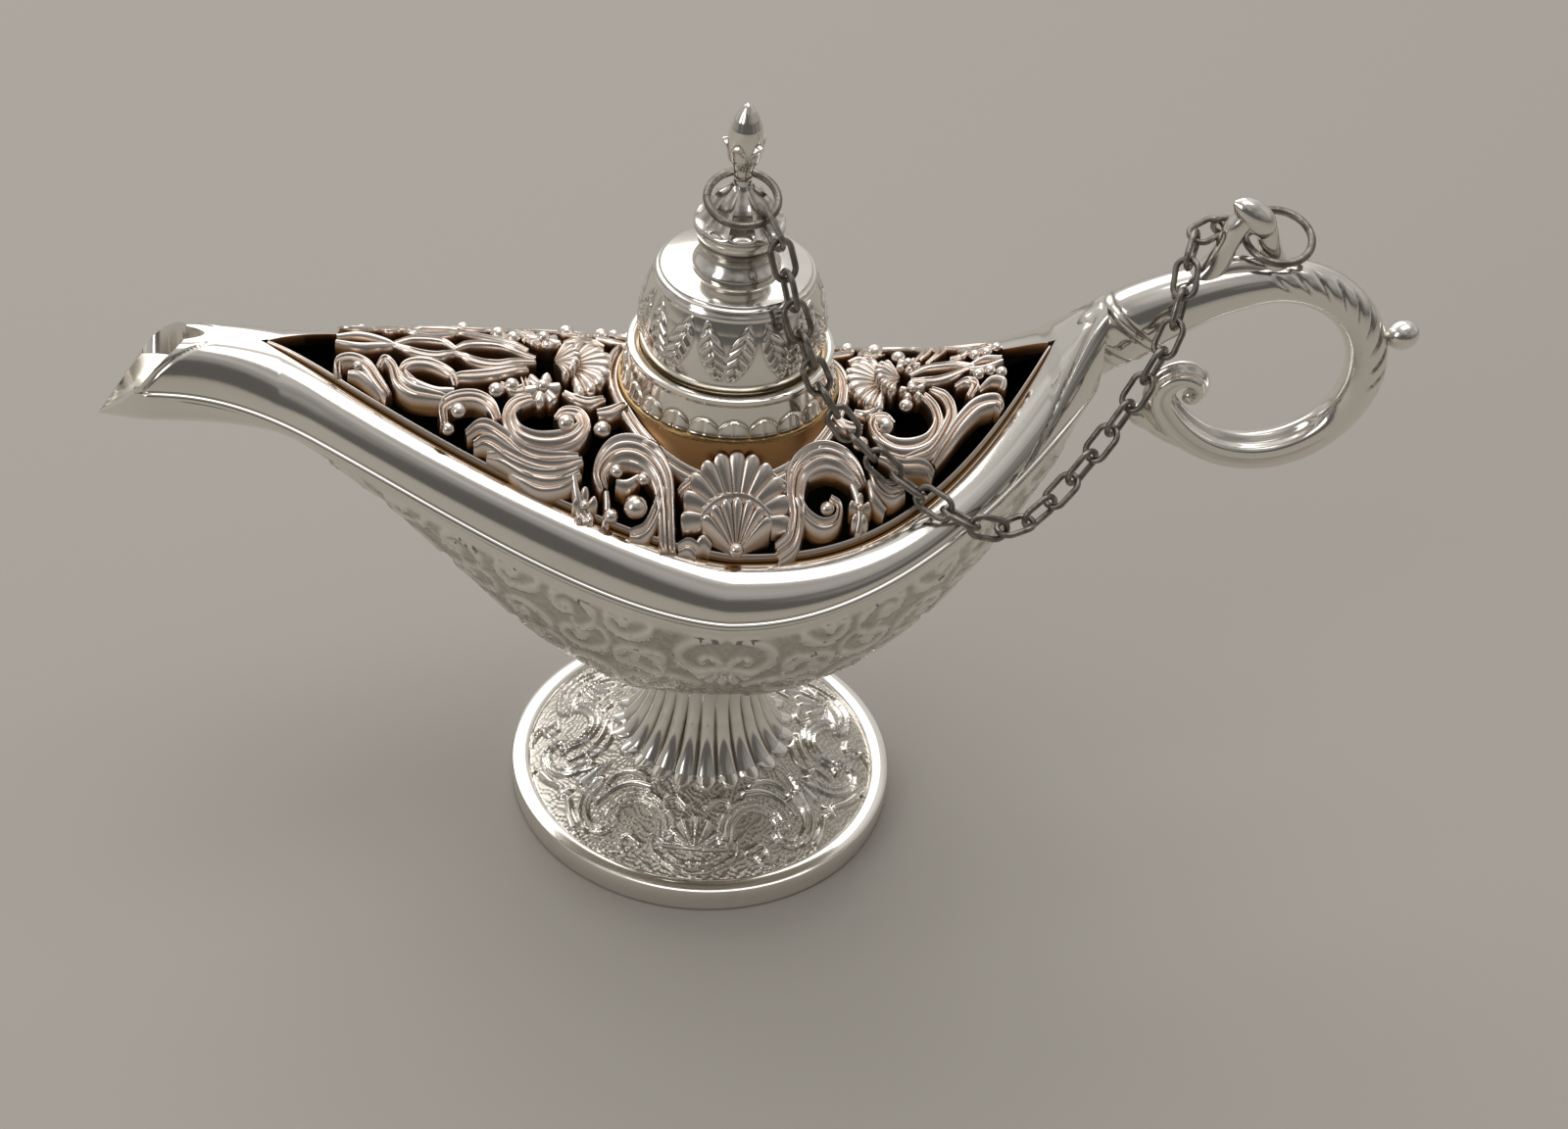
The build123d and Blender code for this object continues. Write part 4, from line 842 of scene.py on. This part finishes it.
# Lid: a bell turned from thin plate, open below, with a plug that centres it in the collar. Pairs of
# slanted leaves are cut round it, a plain band is left below them, and its top is a bright flat disc.
lid_sides, lid_panels = 576, 9
lid_rise = np.linspace(0, 1, 80)
lid_bow = 9.5 + 0.25 * np.sin(np.pi * np.clip(lid_rise / 0.76, 0, 1))
lid_bow = lid_bow - 1.35 * np.clip((lid_rise - 0.38) / 0.62, 0, 1) ** 2.2
plug_rows = [(7.0, 59.0), (8.05, 59.0), (8.1, 62.7), (9.3, 62.75), (9.5, 62.85)]
lid_profile = np.concatenate([
    plug_rows,
    places(lid_bow, 62.9 + 9.7 * lid_rise),
    [(8.2, 72.78), (7.95, 72.85), (7.85, 72.95), (7.8, 73.1), (7.7, 73.15), (1.6, 73.15)],
    [(1.6, 71.9), (6.6, 71.5), (7.9, 68.0), (8.2, 64.0), (7.0, 61.5), (7.0, 59.0)],
])
lid_grid, around = turned(lid_profile, lid_sides)
lid_z = lid_grid[..., 2]
bell = np.zeros((len(lid_profile), 1), bool)
bell[len(plug_rows):len(plug_rows) + len(lid_rise)] = True
panel = 2 * np.pi / lid_panels
side = np.abs((around + 0.3 + panel / 2) % panel - panel / 2) * 9.3 + 0 * lid_z
up = (lid_z - 65.0) / 6.6
off_spine = side - 0.55 - 1.75 * np.clip(up, 0, 1)
blade = 1.3 * np.sin(np.pi * np.clip(up, 0, 1)) ** 0.7 - np.abs(off_spine)
on_blade = bell * ease(blade / 0.22)
hatch = np.sin(2 * np.pi * (lid_z + 0.9 * np.abs(off_spine)) / 1.15)
lid_relief = on_blade * (0.12 + 0.11 * hatch - 0.16 * peak(off_spine, 0.13))
lower_line = bell * np.clip(1 - ((lid_z - 63.35) / 0.35) ** 2, 0, 1)
upper_line = bell * np.clip(1 - ((lid_z - 72.0) / 0.28) ** 2, 0, 1)
lid_relief += 0.12 * lower_line + 0.1 * upper_line
blade_edge = bell * peak(blade + 0.08, 0.12) * (np.abs(up - 0.5) < 0.5)
lid_recess = on_blade * np.clip(0.15 - 0.45 * hatch, 0, 1) + 0.5 * blade_edge
lid_recess[-6:] = 0.8
lid_faces = weave(lid_grid, wrap=True)
cast("lid_bell", raised(lid_grid, lid_relief), lid_faces, silver, "lid_group", "lid", recess=lid_recess)

# Finial: a turned and chased knob that is screwed through the lid. A flared base and a waist carry a bulb
# that is plain below and fluted above, then come a thin neck that the chain's ring hangs round and a bud.
lid_top = 73.15
stud_radius = 1.5
finial_sides = 216
base_rows = [
    (stud_radius, 0.0), (4.4, 0.0), (4.6, 0.2), (4.6, 0.6), (4.45, 0.9), (4.1, 1.3), (3.8, 1.7), (3.65, 2.1),
    (3.7, 2.5), (3.95, 2.85), (4.15, 3.05), (4.05, 3.28),
]
bulb_marks = np.array([
    (3.3, 3.8), (3.7, 4.2), (4.2, 4.5), (4.7, 4.68), (5.2, 4.75), (5.7, 4.65), (6.1, 4.35), (6.5, 3.9),
    (6.9, 3.5), (7.4, 3.3), (7.8, 3.15), (8.2, 2.85), (8.6, 2.4), (9.0, 1.8), (9.4, 1.25), (9.8, 1.0),
    (10.3, 0.9), (10.9, 0.92), (11.6, 1.05), (12.2, 1.3),
])
bulb_z = np.linspace(3.32, 12.2, 90)
bulb_rows = places(np.interp(bulb_z, bulb_marks[:, 0], bulb_marks[:, 1]), bulb_z)
bud_z = np.linspace(12.3, 18.9, 70)
bud_marks = (0, 0.1, 0.25, 0.45, 0.6, 0.75, 0.88, 0.96, 1)
bud_r = np.interp((bud_z - 12.3) / 6.6, bud_marks, (1.35, 1.6, 1.75, 1.8, 1.65, 1.28, 0.8, 0.4, 0.0))
finial_profile = np.concatenate([base_rows, bulb_rows, places(bud_r, bud_z)]) + (0, lid_top)
finial_grid, around = turned(finial_profile, finial_sides)
above = finial_grid[..., 2] - lid_top
finial_r = np.linalg.norm(finial_grid[..., :2], axis=-1)
ribs = np.abs(np.sin(5 * around)) + 0 * above
on_shoulder = ease((above - 5.3) / 0.9) * ease((10.2 - above) / 1.2)
equator = peak(above - 5.1, 0.16)
cup_leaf = np.abs(np.sin(2.5 * around + 0.4)) + 0 * above
leaf_tip = 13.4 + 1.5 * cup_leaf
on_cup = ease((above - 12.3) / 0.3) * ease((leaf_tip - above) / 0.12)
curl_out = on_cup * peak(above - leaf_tip + 0.25, 0.3) * cup_leaf**4
facets = ease((above - 15.2) / 0.8) * ease((18.6 - above) / 1.0)
finial_relief = on_shoulder * -0.13 * finial_r * ribs**0.8 - 0.07 * equator
finial_relief += on_cup * 0.16 * cup_leaf**0.5 + 0.42 * curl_out
finial_relief += facets * 0.06 * (np.abs(np.cos(2.5 * around + 0.4)) - 0.5)
finial_recess = on_shoulder * np.clip(2.2 * ribs - 1.3, 0, 0.8) + 0.8 * equator
finial_recess += on_cup * np.clip(0.7 - 1.2 * cup_leaf, 0, 1)
finial_recess += 0.6 * peak(above - leaf_tip - 0.1, 0.12) * (above > 12.6)
finial_recess += 0.55 * peak(above - 2.1, 0.7) + 0.8 * peak(above - 3.25, 0.12)
finial_faces = weave(finial_grid, wrap=True)
stud, _ = turned([(stud_radius, lid_top - 3.6), (stud_radius, lid_top)], finial_sides)
stud_faces = weave(stud, wrap=True) + [row_of(stud, 0)]
finial_knob = (raised(finial_grid, finial_relief), finial_faces, finial_recess)
points, faces, film = fused([finial_knob, (stud, stud_faces, 0)])
cast("finial_knob", points, faces, silver, "lid_group", "finial", recess=film)

# Finial nut: a small steel hexagon, turned onto the finial's stud inside the lid. It holds the finial
# down on the lid's top.
finish_node("finial_nut", steel)

# Handle: a cast arm that leaves the tail, turns through a loop and ends in a curl with a bud. A leaf is
# cut along the loop's top, ridges run along its lower half, two ties bind its root, and a tenon holds it
# in the tail. A knob stands out behind, and a rounded lug on top carries the chain's ring.
arm_sides, knob_sides, strand_sides = 72, 36, 24
arm_bends = [
    (30.0, -36, (3.3, 2.4)), (11.2, -225, (2.3, 2.25, 2.2, 2.1, 1.9)), (14.0, -22, (1.7,)),
    (2.6, -110, (1.65, 1.6, 1.5)), (1.6, -150, (1.4, 1.3, 1.15, 0.95)),
]
root = (39.05, 64.38)
in_tail = flow([(36.2, 59.6), (37.6, 62.1), root], 16)[:-1]
arm_line = np.concatenate([in_tail, scroll(root, 45, [bend[:2] for bend in arm_bends], 0.16)])
arm_run = np.concatenate([[0], np.cumsum(np.linalg.norm(np.diff(arm_line, axis=0), axis=1))])
arm_run -= arm_run[len(in_tail)]
run_marks, girths, done = [-5.6, 0.0, 4.0], [1.6, 3.05, 3.7], 0.0
for bend_radius, sweep, steps in arm_bends:
    length = bend_radius * math.radians(abs(sweep))
    for k, girth in enumerate(steps):
        run_marks.append(done + length * (k + 1) / len(steps))
        girths.append(girth)
    done += length
arm_girth = np.interp(arm_run, run_marks, girths)
for _ in range(60):
    arm_girth[1:-1] = (arm_girth[:-2] + 2 * arm_girth[1:-1] + arm_girth[2:]) / 4
ahead = unit(np.gradient(arm_line, axis=0))
outward = places(-ahead[:, 1], ahead[:, 0])
turn = full_turn(arm_sides)
root_share = np.clip(1 - arm_run / 15, 0, 1)[:, None]
curl_share = ease((arm_run - 70) / 8)[:, None]
tall = arm_girth[:, None] * (1 + 0.22 * root_share**2) * np.cos(turn)
broad = arm_girth[:, None] * (1 - 0.14 * root_share**2 + 0.45 * curl_share) * np.sin(turn)
arm_x = arm_line[:, :1] + outward[:, :1] * tall
arm_z = arm_line[:, 1:] + outward[:, 1:] * tall
run = arm_run[:, None] + 0 * turn
lean = np.abs((turn + np.pi) % (2 * np.pi) - np.pi) + 0 * run
tie_run = run + 1.1 * np.cos(lean)
ties = peak(tie_run - 1.9, 0.5) + peak(tie_run - 4.6, 0.35)
tie_gap = peak(tie_run - 1.0, 0.2) + peak(tie_run - 4.1, 0.16) + peak(tie_run - 5.1, 0.16)
leaf_zone = ease((run - 18.5) / 2) * ease((42 - run) / 4)
hatch = -peak((run - 2.4 * lean) / 2.3 % 1 - 0.5, 0.13)
leaf_cut = leaf_zone * ease((lean - 0.35) / 0.3) * ease((1.75 - lean) / 0.35)
ridge_zone = ease((run - 44) / 6) * ease((76 - run) / 6)
cords = np.cos(6 * lean)
arm_relief = 0.1 * ties - 0.16 * tie_gap + leaf_cut * (0.1 + 0.26 * hatch) + ridge_zone * 0.2 * cords
arm_relief += ease((run - 68) / 6) * 0.16 * np.cos(4 * (turn - np.pi / 2))
arm_recess = leaf_cut * np.clip(-0.1 - 0.6 * hatch, 0, 1) + ridge_zone * np.clip(-0.4 - 0.8 * cords, 0, 1)
arm_recess += np.clip(0.9 * tie_gap, 0, 1) + 0.5 * peak(run, 0.4)
arm = raised(places(arm_x, -broad, arm_z), arm_relief)
handle_parts = [(arm, weave(arm, wrap=True, capped=True), arm_recess)]


def add_turned(profile, foot_at, along, film=0):
    """Add to the handle a profile of radius and distance turned about a line in the handle's plane."""
    grid, _ = turned(profile, knob_sides)
    axis = np.array([along[0], 0.0, along[1]]) / math.hypot(*along)
    across = np.array([axis[2], 0.0, -axis[0]])
    points = grid[..., :1] * across + grid[..., 1:2] * np.array([0.0, 1.0, 0.0]) + grid[..., 2:] * axis
    handle_parts.append((points + (foot_at[0], 0.0, foot_at[1]), weave(grid, wrap=True), film))


round_tilt = np.linspace(-np.pi / 2, np.pi / 2, 13)
add_turned(places(1.05 * np.cos(round_tilt), 1.05 * np.sin(round_tilt)), arm_line[-1], (0.0, 1.0))
knob_neck = [(0.0, -0.9), (2.2, -0.9), (1.75, -0.2), (1.4, 0.5), (1.15, 1.1), (1.02, 1.7), (1.05, 2.1)]
knob_tilt = np.linspace(-1.15, np.pi / 2, 20)
knob_bulb = places(1.62 * np.cos(knob_tilt), 3.95 + 1.85 * np.sin(knob_tilt))
knob_profile = np.concatenate([knob_neck, knob_bulb])
under_bulb = np.arange(len(knob_profile)) == len(knob_neck) - 1
add_turned(knob_profile, (68.0, 65.0), (3.7, 1.35), np.repeat(0.8 * under_bulb, knob_sides))
add_turned(places(0.55 * np.cos(round_tilt), 0.85 * np.sin(round_tilt)), (69.8, 63.4), (0.8, -0.6))
bud_run = np.linspace(0, 1, 40)
girth_marks = (0, 0.35, 0.6, 0.7, 0.8, 0.9, 0.97, 1)
bud_radius = np.interp(bud_run, girth_marks, (0.95, 0.8, 0.75, 0.95, 1.15, 1.1, 0.6, 0.05))
bud_x = 50.4 + (43.6 - 50.4) * bud_run
bud_bow = 51.6 + (56.2 - 51.6) * bud_run - 0.7 * np.sin(np.pi * bud_run)
handle_parts.append((*sweep_wire(places(bud_x, 0.0, bud_bow), bud_radius, strand_sides), 0))
lug_strands = [
    [(48.4, 72.2, 1.8), (49.8, 74.6, 1.45), (50.6, 77.0, 1.2), (51.2, 79.0, 1.3), (52.0, 80.4, 1.3)],
    [(57.8, 72.6, 1.8), (56.2, 74.6, 1.45), (55.2, 77.0, 1.2), (54.4, 79.0, 1.2), (53.2, 80.4, 1.3)],
    [(48.6, 72.8, 1.4), (51.0, 74.2, 1.25), (53.0, 74.6, 1.2), (55.2, 74.3, 1.25), (57.6, 73.0, 1.4)],
    [(54.6, 78.2, 0.9), (53.9, 79.7, 1.5), (52.6, 80.9, 1.6), (51.3, 81.8, 1.1), (50.4, 82.25, 0.2)],
]
for strand in lug_strands:
    path = flow(strand)
    line = places(path[:, 0], 0.0, path[:, 1])
    strand_radius = np.maximum(path[:, 2], 0.15)
    handle_parts.append((*sweep_wire(line, strand_radius, strand_sides, level=(0.0, 1.0, 0.0)), 0))
add_turned([(0.0, -2.2), (1.3, -2.2), (1.3, 0.4), (0.0, 0.4)], (39.0, 64.6), (1.0, 0.0))
points, faces, film = fused(handle_parts)
cast("handle_arm", points, faces, silver, "lamp", "handle", recess=film)

# Rings and chain: bent steel wire, gone dark. One ring hangs on the finial's neck and one in the handle's
# lug, and 28 oval links run between them. Each is closed with a butt joint.
gunmetal = drawn_steel("chain_wire", (0.37, 0.34, 0.30), 0.22)
wire_sides = 14
joint_gap = 0.06


def bent_wire(node, body, name):
    """A wire loop, round or oval, of the same size and place as its CAD node, with its butt joint."""
    corners = np.empty(len(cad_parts[node].data.vertices) * 3)
    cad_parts[node].data.vertices.foreach_get("co", corners)
    corners = corners.reshape(-1, 3) / MM
    middle = (corners.max(0) + corners.min(0)) / 2
    axes = np.linalg.svd(corners - corners.mean(0), full_matrices=False)[2]
    reach = (corners - middle) @ axes.T
    centre = middle + ((reach.max(0) + reach.min(0)) / 2) @ axes
    long, wide, wire = reach.max(0) - reach.min(0)
    bend = (wide - wire) / 2
    straight = max(0.0, (long - wide) / 2)
    gap = joint_gap / bend
    turn = np.concatenate([
        np.linspace(gap / 2, np.pi / 2, 16), np.linspace(np.pi / 2, 3 * np.pi / 2, 30),
        np.linspace(3 * np.pi / 2, 2 * np.pi - gap / 2, 16),
    ])
    shift = np.where(np.cos(turn) >= -1e-9, straight, -straight)
    out = places(np.cos(turn), np.sin(turn))
    line = bend * out + places(shift, 0.0)
    round_turn = full_turn(wire_sides)
    ring = line[:, None] + out[:, None] * (wire / 2) * np.cos(round_turn)[:, None]
    points = places(ring[..., 0], ring[..., 1], wire / 2 * np.sin(round_turn))
    faces = weave(points, wrap=True, capped=True)
    cast(name, points @ axes + centre, faces, gunmetal, body, node, crease=60)


bent_wire("finial_ring", "ring_carrier", "finial_ring_wire")
bent_wire("handle_ring", "lug_ring", "handle_ring_wire")
for number in range(1, 29):
    bent_wire(f"chain_link_{number:02d}", f"link_{number:02d}", f"link_wire_{number:02d}")

# Stage: a plain pale floor under soft light from a bright room and three broad lamps. The camera stands
# at the photograph's side and height.
floor_mesh = bpy.data.meshes.new("floor")
floor_mesh.from_pydata([(-3, -3, 0), (3, -3, 0), (3, 3, 0), (-3, 3, 0)], [], [(0, 1, 2, 3)])
floor = bpy.data.objects.new("floor", floor_mesh)
bpy.context.scene.collection.objects.link(floor)
floor_paint = bpy.data.materials.new("floor_paint")
floor_paint.use_nodes = True
paint = floor_paint.node_tree.nodes["Principled BSDF"].inputs
paint["Base Color"].default_value = (0.46, 0.43, 0.39, 1.0)
paint["Roughness"].default_value = 0.7
floor_mesh.materials.append(floor_paint)

room = bpy.data.worlds.new("room")
room.use_nodes = True
backdrop = room.node_tree.nodes["Background"]
toward = Sheen(room.node_tree).node("ShaderNodeTexCoord", {}, {}, "Generated")
depth = toward.node("ShaderNodeSeparateXYZ", {}, {"Vector": toward}, "Y")
height = toward.node("ShaderNodeSeparateXYZ", {}, {"Vector": toward}, "Z")
bright_patch = toward.speckle(2.2, 1.0).clipped(0.35, 0.65)
glow = (0.7 * depth + 0.75 * height + 0.5 * bright_patch).clipped(-0.1, 1.45)
glow.tint((0.13, 0.124, 0.117, 1.0), (0.96, 0.94, 0.90, 1.0)).feed(backdrop, "Color")
backdrop.inputs["Strength"].default_value = 0.78
bpy.context.scene.world = room


def lamp_panel(name, place, aim, size, power):
    """A broad soft lamp."""
    light = bpy.data.lights.new(name, "AREA")
    light.shape = "RECTANGLE"
    light.size, light.size_y = size
    light.energy = power
    panel = bpy.data.objects.new(name, light)
    panel.location = place
    panel.rotation_euler = (Vector(aim) - Vector(place)).to_track_quat("-Z", "Y").to_euler()
    bpy.context.scene.collection.objects.link(panel)


lamp_panel("window", (-0.25, 0.75, 0.75), (0, 0, 0.04), (1.1, 0.7), 3.0)
lamp_panel("overhead", (0.1, 0.05, 0.9), (0, 0, 0.04), (0.45, 0.7), 1.3)
lamp_panel("near_side", (-0.7, -0.5, 0.5), (0, 0, 0.05), (0.3, 0.5), 1.0)

camera_data = bpy.data.cameras.new("photo_view")
camera_data.sensor_width = 36.0
camera_data.lens = 60.75
camera = bpy.data.objects.new("photo_view", camera_data)
eye = (-0.0200, -0.2266, 0.2246)
to_right = Vector((0.9955, -0.0610, 0.0724)).normalized()
view = Vector((0.0933, 0.7600, -0.6431)).normalized()
upward = to_right.cross(view).normalized()
right = view.cross(upward).normalized()
camera.matrix_world = Matrix([*zip(right, upward, -view, eye), (0, 0, 0, 1)])
bpy.context.scene.collection.objects.link(camera)
bpy.context.scene.camera = camera
bpy.context.scene.view_settings.view_transform = "Standard"
